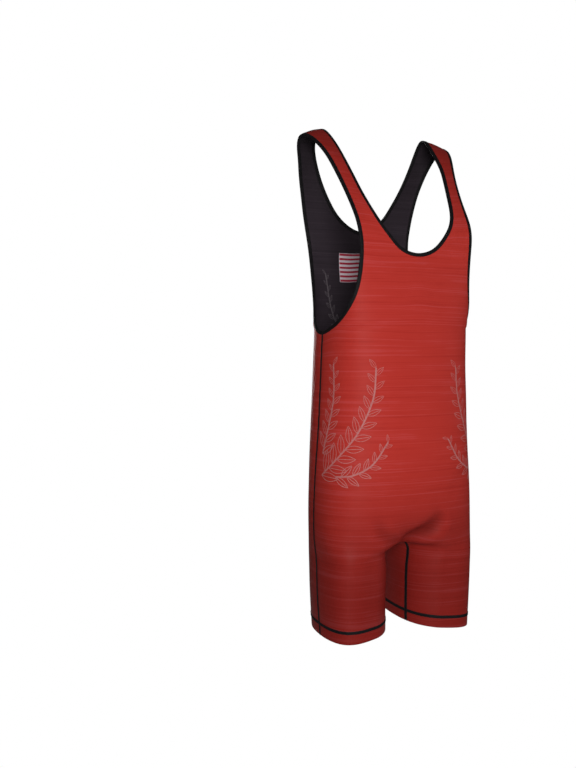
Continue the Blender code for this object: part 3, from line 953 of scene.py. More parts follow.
# %% Lay a flat drawing on the cloth
PRINT_LIFT, PRINT_THICK = 0.00003, 0.00010


def flat_triangles(cloth, panel):
    """One panel as triangles, each with its flat places, its cloth places and its normals."""
    flat_map = cloth.loops.layers.uv.active
    triangles = []
    for face in cloth.faces:
        if face.material_index == panel:
            corners = [(Vector((*loop[flat_map].uv, 0)), loop.vert.co.copy(),
                        loop.vert.normal.copy()) for loop in face.loops]
            triangles += [(corners[0], corners[1], corners[2]),
                          (corners[0], corners[2], corners[3])]
    places = [place for triangle in triangles for place, _, _ in triangle]
    count = len(triangles)
    tree = BVHTree.FromPolygons(places, [(3 * i, 3 * i + 1, 3 * i + 2) for i in range(count)])
    return triangles, tree


FLAT_PANELS = {panel: flat_triangles(cloth, panel) for panel in (FRONT, BACK)}


def lay(drawing, panel, inside=False):
    """Carry a flat bmesh to the outer or the inner face of a panel. Its z is its thickness."""
    triangles, tree = FLAT_PANELS[panel]
    flat_map = drawing.loops.layers.uv.new("flat_panel")
    for face in drawing.faces:
        for loop in face.loops:
            loop[flat_map].uv = loop.vert.co.xy
    for vertex in drawing.verts:
        flat = Vector((vertex.co.x, vertex.co.y, 0))
        near, _, index, _ = tree.find_nearest(flat)
        (a, a_on, a_up), (b, b_on, b_up), (c, c_on, c_up) = triangles[index]
        spot = barycentric_transform(near, a, b, c, a_on, b_on, c_on)
        up = barycentric_transform(near, a, b, c, a_up, b_up, c_up).normalized()
        rise = PRINT_LIFT + vertex.co.z
        vertex.co = spot - up * (WALL + rise) if inside else spot + up * rise
    bmesh.ops.recalc_face_normals(drawing, faces=drawing.faces)
    return drawing


print("flat triangles:", [len(triangles) for triangles, _ in FLAT_PANELS.values()])

# %% Print inks
INK_ROUGHNESS = 0.55


def ink(name, colour, wear_and_fold_shade):
    """A thin ink on knit: its colour shows a little wear in small patches."""
    material, tree, surface = start_material(name, INK_ROUGHNESS, 0.2)
    flat = tree.nodes.new("ShaderNodeUVMap")
    flat.uv_map = "flat_panel"
    patchy = noise_value(tree, stretched(tree, flat.outputs["UV"], (260, 900, 1)), 3)
    share = spread(tree, patchy, 0.40, 0.72)
    tree.links.new(blend_colours(tree, share, colour, wear_and_fold_shade), surface.inputs["Base Color"])
    grain = place_group(tree, knit, Flat_place=flat.outputs["UV"])
    add_bump(tree, surface, grain.outputs["Height"], 0.00010, 0.5)
    rough = math_node(tree, "MULTIPLY_ADD", patchy, 0.15, INK_ROUGHNESS - 0.07)
    tree.links.new(rough, surface.inputs["Roughness"])
    return material


hip_ink = ink("hip_ink", (0.430, 0.160, 0.155), (0.380, 0.085, 0.080))
inner_ink = ink("inner_ink", (0.085, 0.070, 0.078), (0.045, 0.036, 0.042))
white_ink = ink("white_ink", (0.72, 0.61, 0.66), (0.60, 0.50, 0.56))
red_ink = ink("red_ink", (0.400, 0.026, 0.050), (0.330, 0.022, 0.042))
blue_ink = ink("blue_ink", (0.022, 0.028, 0.110), (0.018, 0.021, 0.080))
print("inks:", hip_ink.name, inner_ink.name, white_ink.name, red_ink.name, blue_ink.name)


# %% A node tree that draws leaves along a stem
def leaf_tree():
    """Leaves in outline, left and right by turns along a stem, and the stem itself."""
    tree = bpy.data.node_groups.new("leaves_on_a_stem", "GeometryNodeTree")
    face = tree.interface
    face.new_socket("Stem", in_out="INPUT", socket_type="NodeSocketGeometry")
    sizes = (("Pitch", 0.008), ("Leaf length", 0.028), ("Leaf width", 0.009), ("Slant", 0.75),
             ("Line", 0.0011), ("Stem line", 0.0026), ("Thickness", PRINT_THICK))
    for label, value in sizes:
        face.new_socket(label, in_out="INPUT", socket_type="NodeSocketFloat").default_value = value
    face.new_socket("Finish", in_out="INPUT", socket_type="NodeSocketMaterial")
    face.new_socket("Print", in_out="OUTPUT", socket_type="NodeSocketGeometry")
    new, link = tree.nodes.new, tree.links.new
    number, vector = partial(math_node, tree), partial(vector_node, tree)
    given, made = new("NodeGroupInput").outputs, new("NodeGroupOutput")

    def flat_line(curve, width):
        """A curve as a closed ribbon that lies on the drawing's ground."""
        level = new("GeometryNodeSetCurveNormal")
        section = new("GeometryNodeCurvePrimitiveQuadrilateral")
        level.mode = "Z_UP"
        link(curve, level.inputs["Curve"])
        link(width, section.inputs["Width"])
        link(given["Thickness"], section.inputs["Height"])
        sweep, lifted = new("GeometryNodeCurveToMesh"), new("GeometryNodeSetPosition")
        link(level.outputs["Curve"], sweep.inputs["Curve"])
        link(section.outputs["Curve"], sweep.inputs["Profile Curve"])
        sweep.inputs["Fill Caps"].default_value = True
        link(sweep.outputs["Mesh"], lifted.inputs["Geometry"])
        link(vector(z=number("MULTIPLY", given["Thickness"], 0.5)), lifted.inputs["Offset"])
        return lifted.outputs["Geometry"]

    # one leaf: two bowed sides and a rib
    length, width = given["Leaf length"], given["Leaf width"]
    outline = new("GeometryNodeJoinGeometry")
    for side in (1.0, -1.0, 0.0):
        bow = new("GeometryNodeCurveQuadraticBezier")
        bow.inputs["Resolution"].default_value = 9
        reach = number("MULTIPLY", length, 0.88 if side == 0.0 else 1.0)
        link(vector(), bow.inputs["Start"])
        link(vector(x=number("MULTIPLY", length, 0.42), y=number("MULTIPLY", width, side)),
             bow.inputs["Middle"])
        link(vector(x=reach), bow.inputs["End"])
        link(flat_line(bow.outputs["Curve"], given["Line"]), outline.inputs[0])

    # the stem, and places along it
    curve, points = new("GeometryNodeMeshToCurve"), new("GeometryNodeCurveToPoints")
    points.mode = "LENGTH"
    link(given["Stem"], curve.inputs["Mesh"])
    link(curve.outputs["Curve"], points.inputs["Curve"])
    link(given["Pitch"], points.inputs["Length"])
    shrink = new("GeometryNodeInputNamedAttribute")
    shrink.data_type = "FLOAT"
    shrink.inputs["Name"].default_value = "shrink"
    number_along = new("GeometryNodeInputIndex").outputs[0]
    side = number("SUBTRACT", number("MULTIPLY", number("MODULO", number_along, 2.0), 2.0), 1.0)
    ahead, slanted = new("FunctionNodeAlignRotationToVector"), new("FunctionNodeRotateRotation")
    ahead.axis, ahead.pivot_axis = "X", "Z"
    link(points.outputs["Tangent"], ahead.inputs["Vector"])
    slanted.rotation_space = "LOCAL"
    turn = new("FunctionNodeEulerToRotation")
    link(vector(z=number("MULTIPLY", side, given["Slant"])), turn.inputs["Euler"])
    link(ahead.outputs["Rotation"], slanted.inputs["Rotation"])
    link(turn.outputs["Rotation"], slanted.inputs["Rotate By"])

    each, real = new("GeometryNodeInstanceOnPoints"), new("GeometryNodeRealizeInstances")
    both, finish = new("GeometryNodeJoinGeometry"), new("GeometryNodeSetMaterial")
    link(points.outputs["Points"], each.inputs["Points"])
    link(outline.outputs[0], each.inputs["Instance"])
    link(slanted.outputs["Rotation"], each.inputs["Rotation"])
    size = shrink.outputs["Attribute"]
    link(vector(size, size, 1.0), each.inputs["Scale"])
    link(each.outputs["Instances"], real.inputs["Geometry"])
    link(real.outputs["Geometry"], both.inputs[0])
    link(flat_line(curve.outputs["Curve"], given["Stem line"]), both.inputs[0])
    link(both.outputs[0], finish.inputs["Geometry"])
    link(given["Finish"], finish.inputs["Material"])
    link(finish.outputs["Geometry"], made.inputs["Print"])
    return tree


leaves = leaf_tree()
print("tree inputs:", [item.name for item in leaves.interface.items_tree if item.in_out == "INPUT"])

# %% [markdown]
# A stem is a smooth line through four or five places. The leaves are full size at its foot and
# shrink towards its tip.

# %% Draw the sprigs
Stem = namedtuple("Stem", "places pitch leaf width slant")
HIP_STEMS = (
    Stem(((0.183, -0.584), (0.150, -0.556), (0.112, -0.512), (0.086, -0.456), (0.080, -0.404)),
         0.0110, 0.038, 0.0140, 0.78),
    Stem(((0.181, -0.548), (0.168, -0.506), (0.156, -0.456), (0.156, -0.398)),
         0.0105, 0.030, 0.0110, 0.70),
    Stem(((0.150, -0.584), (0.118, -0.580), (0.086, -0.562), (0.060, -0.526)),
         0.0100, 0.028, 0.0100, 0.74),
)
BACK_STEMS = (
    Stem(((0.046, -0.344), (0.062, -0.318), (0.074, -0.282), (0.078, -0.238)),
         0.0095, 0.020, 0.0072, 0.62),
)
SHRINK = 0.55


def through(places, step=0.0025):
    """A smooth line through a few places, sampled every few millimetres."""
    places = [Vector((*place, 0)) for place in places]
    ends = [2 * places[0] - places[1], *places, 2 * places[-1] - places[-2]]
    line = []
    for before, start, end, after in zip(ends, ends[1:], ends[2:], ends[3:]):
        count = max(2, round((end - start).length / step))
        for part in (index / count for index in range(count)):
            pull, push = (end - before) / 2, (after - start) / 2
            line.append(start + part * pull
                        + part ** 2 * (3 * (end - start) - 2 * pull - push)
                        + part ** 3 * (pull + push - 2 * (end - start)))
    return line + [places[-1]]


def run_tree(tree, mesh, settings):
    """A mesh with a node tree applied, as a plain mesh. Inputs are set by their labels."""
    holder = bpy.data.objects.new(mesh.name, mesh)
    bpy.context.scene.collection.objects.link(holder)
    modifier = holder.modifiers.new("tree", "NODES")
    modifier.node_group = tree
    for item in tree.interface.items_tree:
        if item.in_out == "INPUT" and item.name in settings:
            modifier[item.identifier] = settings[item.name]
    bpy.context.view_layer.update()
    depsgraph = bpy.context.evaluated_depsgraph_get()
    result = bpy.data.meshes.new_from_object(holder.evaluated_get(depsgraph))
    bpy.data.objects.remove(holder, do_unlink=True)
    return result


def draw_sprig(stem, side, finish):
    """One sprig as a flat mesh, on the left half of a panel or mirrored to the right."""
    line = [Vector((place.x * side, place.y, 0)) for place in through(stem.places)]
    mesh = bpy.data.meshes.new("stem")
    mesh.from_pydata(line, [(index, index + 1) for index in range(len(line) - 1)], [])
    shrink = mesh.attributes.new("shrink", "FLOAT", "POINT")
    shrink.data.foreach_set("value", [1 - SHRINK * index / len(line)
                                      for index in range(len(line))])
    return run_tree(leaves, mesh, {"Pitch": stem.pitch, "Leaf length": stem.leaf,
                                   "Leaf width": stem.width, "Slant": stem.slant,
                                   "Finish": finish})


def print_sprigs(name, stems, sides, panel, finish, inside=False):
    """Sprigs laid on one face of a panel, as one piece."""
    drawing = bmesh.new()
    for side in sides:
        for stem in stems:
            drawing.from_mesh(draw_sprig(stem, side, finish))
    for face in drawing.faces:
        face.material_index = 0
    return new_piece(name, lay(drawing, panel, inside), (finish,))


prints = [print_sprigs("hip_print_left", HIP_STEMS, (1,), FRONT, hip_ink),
          print_sprigs("hip_print_right", HIP_STEMS, (-1,), FRONT, hip_ink),
          print_sprigs("back_print_outside", BACK_STEMS, (1, -1), BACK, hip_ink),
          print_sprigs("back_print_inside", BACK_STEMS, (1, -1), BACK, inner_ink, True)]
for piece in prints:
    print(piece.name, len(piece.data.polygons), "faces")

# %% [markdown]
# The flag is 93 mm wide, between the shoulder blades, once on each face of the back. It is drawn
# as a sheet of cells, thirteen rows of stripes inside a narrow white border, with a blue corner
# and rows of small stars. Its blue corner points to the wearer's left on both faces.

# %% Draw the flag
FLAG_WIDTH, FLAG_HEIGHT, FLAG_TOP = 0.093, 0.051, -0.2000
FLAG_BORDER = 0.0008
FLAG_CUT = 0.004                    # the slabs are cut into faces this long
CORNER_SHARE = 0.40                 # of the flag's width
STRIPES, CORNER_STRIPES = 13, 7     # on the whole flag, and beside the blue corner
STARS = 0.0011                      # a star's radius
STAR_WAIST = 0.42                   # share of it at a star's inner corners
STAR_ROWS = 9


def cell(sheet, low, high, finish):
    """A closed thin slab in the drawing, cut both ways so that it can bend with the cloth."""
    across = max(1, round((high[0] - low[0]) / FLAG_CUT))
    up = max(1, round((high[1] - low[1]) / FLAG_CUT))
    grid = {}
    for i in range(across + 1):
        for j in range(up + 1):
            x = low[0] + (high[0] - low[0]) * i / across
            y = low[1] + (high[1] - low[1]) * j / up
            grid[i, j] = (sheet.verts.new((x, y, 0)), sheet.verts.new((x, y, PRINT_THICK)))
    rim = ([(i, 0) for i in range(across)] + [(across, j) for j in range(up)]
           + [(i, up) for i in range(across, 0, -1)] + [(0, j) for j in range(up, 0, -1)])
    faces = [sheet.faces.new([grid[spot][level] for spot in
                              ((i, j), (i + 1, j), (i + 1, j + 1), (i, j + 1))])
             for i in range(across) for j in range(up) for level in (0, 1)]
    faces += [sheet.faces.new((grid[a][0], grid[b][0], grid[b][1], grid[a][1]))
              for a, b in zip(rim, rim[1:] + rim[:1])]
    for face in faces:
        face.material_index = finish


def star(sheet, middle, radius, finish):
    """A small closed five-pointed star that stands a hair above the blue."""
    levels = []
    for z in (PRINT_THICK * 0.6, PRINT_THICK * 1.5):
        rim = []
        for index in range(10):
            turn, reach = math.pi * index / 5, radius * (1 if index % 2 == 0 else STAR_WAIST)
            rim.append(sheet.verts.new((middle[0] + reach * math.sin(turn),
                                        middle[1] + reach * math.cos(turn), z)))
        levels.append((sheet.verts.new((*middle, z)), rim))
    (base, low), (peak, high) = levels
    for index in range(10):
        after = (index + 1) % 10
        for corners in ((peak, high[index], high[after]), (base, low[after], low[index]),
                        (low[index], low[after], high[after], high[index])):
            sheet.faces.new(corners).material_index = finish


def print_flag(name, inside):
    """The flag on one face of the back."""
    sheet = bmesh.new()
    white, red, blue = range(3)
    right, left = -FLAG_WIDTH / 2, FLAG_WIDTH / 2
    bottom = FLAG_TOP - FLAG_HEIGHT
    edge = FLAG_BORDER
    for low, high in (((right - edge, FLAG_TOP), (left + edge, FLAG_TOP + edge)),
                      ((right - edge, bottom - edge), (left + edge, bottom)),
                      ((right - edge, bottom), (right, FLAG_TOP)),
                      ((left, bottom), (left + edge, FLAG_TOP))):
        cell(sheet, low, high, white)
    stripe = FLAG_HEIGHT / STRIPES
    corner = left - FLAG_WIDTH * CORNER_SHARE
    for index in range(STRIPES):
        top = FLAG_TOP - index * stripe
        end = corner if index < CORNER_STRIPES else left
        cell(sheet, (right, top - stripe), (end, top), red if index % 2 == 0 else white)
    low = FLAG_TOP - CORNER_STRIPES * stripe
    cell(sheet, (corner, low), (left, FLAG_TOP), blue)
    for row in range(STAR_ROWS):
        count = 6 if row % 2 == 0 else 5
        y = FLAG_TOP - (row + 1) * (FLAG_TOP - low) / (STAR_ROWS + 1)
        for index in range(count):
            x = corner + (2 * index + (1 if count == 6 else 2)) * (left - corner) / 12
            star(sheet, (x, y), STARS, white)
    return new_piece(name, lay(sheet, BACK, inside), (white_ink, red_ink, blue_ink))


prints += [print_flag("flag_print_outside", False), print_flag("flag_print_inside", True)]
for piece in prints[-2:]:
    print(piece.name, len(piece.data.polygons), "faces")

# %% [markdown]
# ## The tapes
#
# The neck and each armhole are bound with a black elastic tape, folded lengthwise over the cut
# edge so that 4.6 mm lies on each face. A curve with a bevel profile could draw it, but the tape
# has to lie on cloth that bends both ways. So its section is laid out at every vertex of the
# edge, on the cloth's own points: a thin wall that hugs the outer face, rounds the edge in a
# full nose and comes back along the inner face.

# %% Tape material
def dull_black(name, colour, sheen_grey, roughness, ribs):
    """Black elastic: fine ribs across it, and a painted sheen of lighter grey in small patches."""
    material, tree, surface = start_material(name, roughness, 0.1, 0.02, (0.8, 0.78, 0.8))
    flat = tree.nodes.new("ShaderNodeUVMap")
    flat.uv_map = "flat_panel"
    place = flat.outputs["UV"]
    # painted sheen: the black turns a lighter grey in small random patches
    sheen_patches = noise_value(tree, stretched(tree, place, (120, 260, 1)), 3)
    share = spread(tree, sheen_patches, 0.45, 0.75)
    tree.links.new(blend_colours(tree, share, colour, sheen_grey), surface.inputs["Base Color"])
    split = tree.nodes.new("ShaderNodeSeparateXYZ")
    tree.links.new(place, split.inputs[0])
    rib = math_node(tree, "PINGPONG", math_node(tree, "MULTIPLY", split.outputs["X"], ribs), 0.5)
    grain = noise_value(tree, stretched(tree, place, (900, 900, 1)), 2)
    height = math_node(tree, "MULTIPLY_ADD", grain, 0.4, rib)
    add_bump(tree, surface, height, 0.00015, 0.6)
    rough = math_node(tree, "MULTIPLY_ADD", sheen_patches, 0.15, roughness - 0.07)
    tree.links.new(rough, surface.inputs["Roughness"])
    return material


tape_black = dull_black("tape_black", (0.0045, 0.0040, 0.0045), (0.0095, 0.0085, 0.0098),
                        0.62, 1400)
print("tape material:", tape_black.name)

# %% Build the tapes
TAPE_REACH = 0.0046                 # how far in from the cut edge a tape ends
TAPE_WALL = 0.0007
NOSE_ARC = 8                        # faces round the fold of a tape
LIFT = 0.0001                       # the tape's clearance from the cloth
STITCH_REACH = 0.0034               # how far in from the cut edge its stitches run


def tape_section(rim, away):
    """Points round a tape's section at one place of the edge, as a closed list."""
    top, under = LIFT + TAPE_WALL, LIFT

    def on(reach, over, inside=False):
        spot, normal = cloth_at(rim.co - away * reach)
        return spot - normal * (WALL + over) if inside else spot + normal * over

    middle, radius = rim.co - rim.normal * WALL / 2, WALL / 2 + top
    nose = []
    for step in range(1, NOSE_ARC):
        turn = math.pi * step / NOSE_ARC
        nose.append(middle + (rim.normal * math.cos(turn) + away * math.sin(turn)) * radius)
    lip = ((TAPE_REACH, under * 0.3), (TAPE_REACH + 0.0001, top * 0.55),
           (TAPE_REACH - 0.0001, top * 0.92))
    flats = tuple(TAPE_REACH * share for share in (0.85, 0.6, 0.3, 0.08))
    points = [on(reach, over) for reach, over in lip]
    points += [on(reach, top) for reach in flats] + nose
    points += [on(reach, top, True) for reach in reversed(flats)]
    points += [on(reach, over, True) for reach, over in reversed(lip)]
    points += [on(TAPE_REACH * 0.6, under, True), on(0.0, under, True),
               on(0.0, under), on(TAPE_REACH * 0.6, under)]
    return points


def tape(loop):
    """A tape folded over one cut edge, with the outer and inner lines for its stitches."""
    shape = bmesh.new()
    flat_out = shape.loops.layers.uv.new("flat_panel")
    sections, lines, run = [], {"outside": [], "inside": []}, [0.0]
    for before, rim, after in with_neighbours(loop):
        away = off_the_cloth(before.co, after.co, rim.normal)
        sections.append([shape.verts.new(point) for point in tape_section(rim, away)])
        seat, normal = cloth_at(rim.co - away * STITCH_REACH)
        lines["outside"].append((seat + normal * (LIFT + TAPE_WALL), normal))
        lines["inside"].append((seat - normal * (WALL + LIFT + TAPE_WALL), -normal))
        run.append(run[-1] + (after.co - rim.co).length)
    count = len(sections[0])
    around = [0.0]
    for point, following in zip(sections[0], sections[0][1:] + sections[0][:1]):
        around.append(around[-1] + (following.co - point.co).length)
    for index, section in enumerate(sections):
        following = sections[(index + 1) % len(sections)]
        for step in range(count):
            face = shape.faces.new((section[step], section[(step + 1) % count],
                                    following[(step + 1) % count], following[step]))
            flats = ((run[index], around[step]), (run[index], around[step + 1]),
                     (run[index + 1], around[step + 1]), (run[index + 1], around[step]))
            for corner, flat in zip(face.loops, flats):
                corner[flat_out].uv = flat
    if shape.calc_volume(signed=True) < 0:
        bmesh.ops.reverse_faces(shape, faces=shape.faces)
    return shape, lines


tapes, tape_lines = {}, {}
for loop in open_edges(cloth):
    name = edge_name(loop)
    if name.startswith("hem"):
        continue
    shape, tape_lines[name] = tape(loop)
    title = "neck_tape" if name == "neck" else name.replace("armhole", "armhole_tape")
    tapes[name] = new_piece(title, shape, (tape_black,))
    print(title, len(tapes[name].data.polygons), "faces")

# %% [markdown]
# ## Paths of the seams
#
# Both side seams, the two shoulder seams and the inside-leg seam run where the front panel
# meets the back one, so the cloth itself gives their paths. The stitches of a hem run 18 mm
# above its edge. Each path is kept as places with the cloth's normal at each.

# %% Find the paths
HEM_STEPS = 8                       # rows of fine faces between the hem's edge and its stitches
SHOULDER_LOW = -0.1                 # a seam with its middle above this crosses a shoulder


def straight_on(edge, vertex):
    """The edge that goes straight on through a vertex with four edges."""
    faces = set(edge.link_faces)
    return next((other for other in vertex.link_edges
                 if other is not edge and not faces & set(other.link_faces)), None)


def walk_in(vertex, steps):
    """The vertex that lies some steps straight into the cloth from one on an open edge."""
    edge = next(edge for edge in vertex.link_edges if not edge.is_boundary)
    for _ in range(steps):
        vertex = edge.other_vert(vertex)
        edge = straight_on(edge, vertex)
    return vertex


def seam_paths(cloth):
    """The lines where the panels meet, each as a list of vertices from end to end."""
    beside = {}
    for edge in cloth.edges:
        if len({face.material_index for face in edge.link_faces}) == 2:
            for vertex in edge.verts:
                beside.setdefault(vertex, []).append(edge.other_vert(vertex))
    paths, used = [], set()
    for start in [vertex for vertex, near in beside.items() if len(near) == 1]:
        if start in used:
            continue
        path = [start]
        while path:
            used.add(path[-1])
            ahead = [vertex for vertex in beside[path[-1]] if vertex not in used]
            if not ahead:
                break
            path.append(ahead[0])
        paths.append(path)
    return paths


def path_name(path):
    """The garment's name for a seam."""
    middle = path[len(path) // 2].co
    side = "left" if middle.x > 0 else "right"
    if middle.z > SHOULDER_LOW:
        return "shoulder_seam_" + side
    return "inseam" if abs(middle.x) < NEAR_CENTRE else "side_seam_" + side


Path = namedtuple("Path", "places normals closed")
paths = {path_name(path): Path([v.co.copy() for v in path], [v.normal.copy() for v in path],
                               False)
         for path in seam_paths(cloth)}
for loop in open_edges(cloth):
    if edge_name(loop).startswith("hem"):
        line = [walk_in(vertex, HEM_STEPS) for vertex in loop]
        paths[edge_name(loop)] = Path([v.co.copy() for v in line],
                                      [v.normal.copy() for v in line], True)


def path_length(path):
    """The length of a path, and back to its start if it is closed."""
    ends = path.places[1:] + (path.places[:1] if path.closed else [])
    return sum((b - a).length for a, b in zip(path.places, ends))


for name, path in paths.items():
    print(name, round(path_length(path) * 1000), "mm")

# %% [markdown]
# ## Seam bands
#
# The panels are joined by a flat seam: the edges lie side by side, and a band of black thread
# covers the join. The band is a bed of threads a few tenths of a millimetre high, with slanted
# threads across it and a row of straight stitches along each edge. The bed is a ribbon swept
# along the path.

# %% Thread materials and the bed of a seam
def thread_material(name, colour, painted_glint, roughness):
    """Polyester thread: a fine uneven twist that catches a little light, and a painted highlight of
    lighter patches.
    """
    material, tree, surface = start_material(name, roughness, 0.14, 0.02, (0.8, 0.78, 0.82))
    where = tree.nodes.new("ShaderNodeTexCoord").outputs["Object"]
    # painted highlight: the thread turns lighter in small random patches
    shade = noise_value(tree, stretched(tree, where, (700, 700, 700)), 2)
    share = spread(tree, shade, 0.42, 0.68)
    tree.links.new(blend_colours(tree, share, colour, painted_glint), surface.inputs["Base Color"])
    twist = noise_value(tree, stretched(tree, where, (2600, 2600, 2600)), 1)
    add_bump(tree, surface, twist, 0.00012, 0.6)
    rough = math_node(tree, "MULTIPLY_ADD", shade, 0.2, roughness - 0.1)
    tree.links.new(rough, surface.inputs["Roughness"])
    return material


thread_black = thread_material("thread_black", (0.0050, 0.0044, 0.0050),
                               (0.0125, 0.0110, 0.0128), 0.58)
bed_black = dull_black("thread_bed_black", (0.0042, 0.0038, 0.0043), (0.0088, 0.0080, 0.0090),
                       0.62, 1200)

Band = namedtuple("Band", "width bed")
SIDE_BAND = Band(0.0046, 0.00035)
INSEAM_BAND = Band(0.0064, 0.00035)
HEM_BAND = Band(0.0054, 0.00030)
SHOULDER_BAND = Band(0.0044, 0.00035)
BANDS = {"side_seam_left": SIDE_BAND, "side_seam_right": SIDE_BAND, "inseam": INSEAM_BAND,
         "hem_left": HEM_BAND, "hem_right": HEM_BAND,
         "shoulder_seam_left": SHOULDER_BAND, "shoulder_seam_right": SHOULDER_BAND}
BED_LIFT, BED_DEPTH = 0.00004, 0.0002   # a bed's clearance from the cloth, and its base


def seam_bed(shape, path, band, inside):
    """Add a low crowned ribbon along a path, on the outer or the inner face of the cloth."""
    flat_out = shape.loops.layers.uv.active
    count = len(path.places)
    shares = (-1, -0.94, -0.7, 0, 0.7, 0.94, 1)
    crown = (0, 0.55, 0.85, 1, 0.85, 0.55, 0)
    sections, run = [], 0.0
    for index, (place, normal) in enumerate(zip(path.places, path.normals)):
        if path.closed:
            before, after = path.places[index - 1], path.places[(index + 1) % count]
        else:
            before, after = path.places[max(index - 1, 0)], path.places[min(index + 1, count - 1)]
        across = off_the_cloth(before, after, normal)
        section = []
        for share, rise in zip(shares, crown):
            spot, facing = cloth_at(place + across * share * band.width / 2)
            lift = BED_LIFT + band.bed * rise
            section.append(spot - facing * (WALL + lift) if inside else spot + facing * lift)
        if inside:
            section.reverse()
        base = [section[-1].lerp(section[0], part) for part in (0.35, 0.65)]
        deep = normal * (BED_DEPTH if inside else -BED_DEPTH)
        points = section + [point + deep for point in base]
        sections.append(([shape.verts.new(point) for point in points], run))
        run += (after - place).length if index < count - 1 or path.closed else 0
    pairs = list(zip(sections, sections[1:]))
    if path.closed:
        pairs.append((sections[-1], (sections[0][0], run)))
    for (one, start), (other, end) in pairs:
        for step in range(len(one)):
            on = (step + 1) % len(one)
            face = shape.faces.new((one[step], other[step], other[on], one[on]))
            wide = band.width / len(one)
            flats = ((start, step * wide), (end, step * wide),
                     (end, (step + 1) * wide), (start, (step + 1) * wide))
            for corner, flat in zip(face.loops, flats):
                corner[flat_out].uv = flat
    if not path.closed:
        shape.faces.new(sections[0][0])
        shape.faces.new(list(reversed(sections[-1][0])))


def make_bed(name, path, band):
    """The beds of one seam, on both faces of the cloth, as one piece."""
    shape = bmesh.new()
    shape.loops.layers.uv.new("flat_panel")
    seam_bed(shape, path, band, False)
    seam_bed(shape, path, band, True)
    bmesh.ops.recalc_face_normals(shape, faces=shape.faces)
    return new_piece(name, shape, (bed_black, thread_black))


beds = {name: make_bed(name + "_bed", paths[name], band) for name, band in BANDS.items()}
print(len(beds), "seams with beds of thread")

# %% [markdown]
# ## Stitches
#
# A machine makes each stitch like the one before it, so a node tree lays them: it walks along a
# path, drops a point every few millimetres, turns it to the cloth, and sets a short bowed
# thread there. The tree's inputs are the sizes that a sewer would set on the machine. The same
# tree makes the slanted threads of a seam, its straight rows and the rows on the tapes.

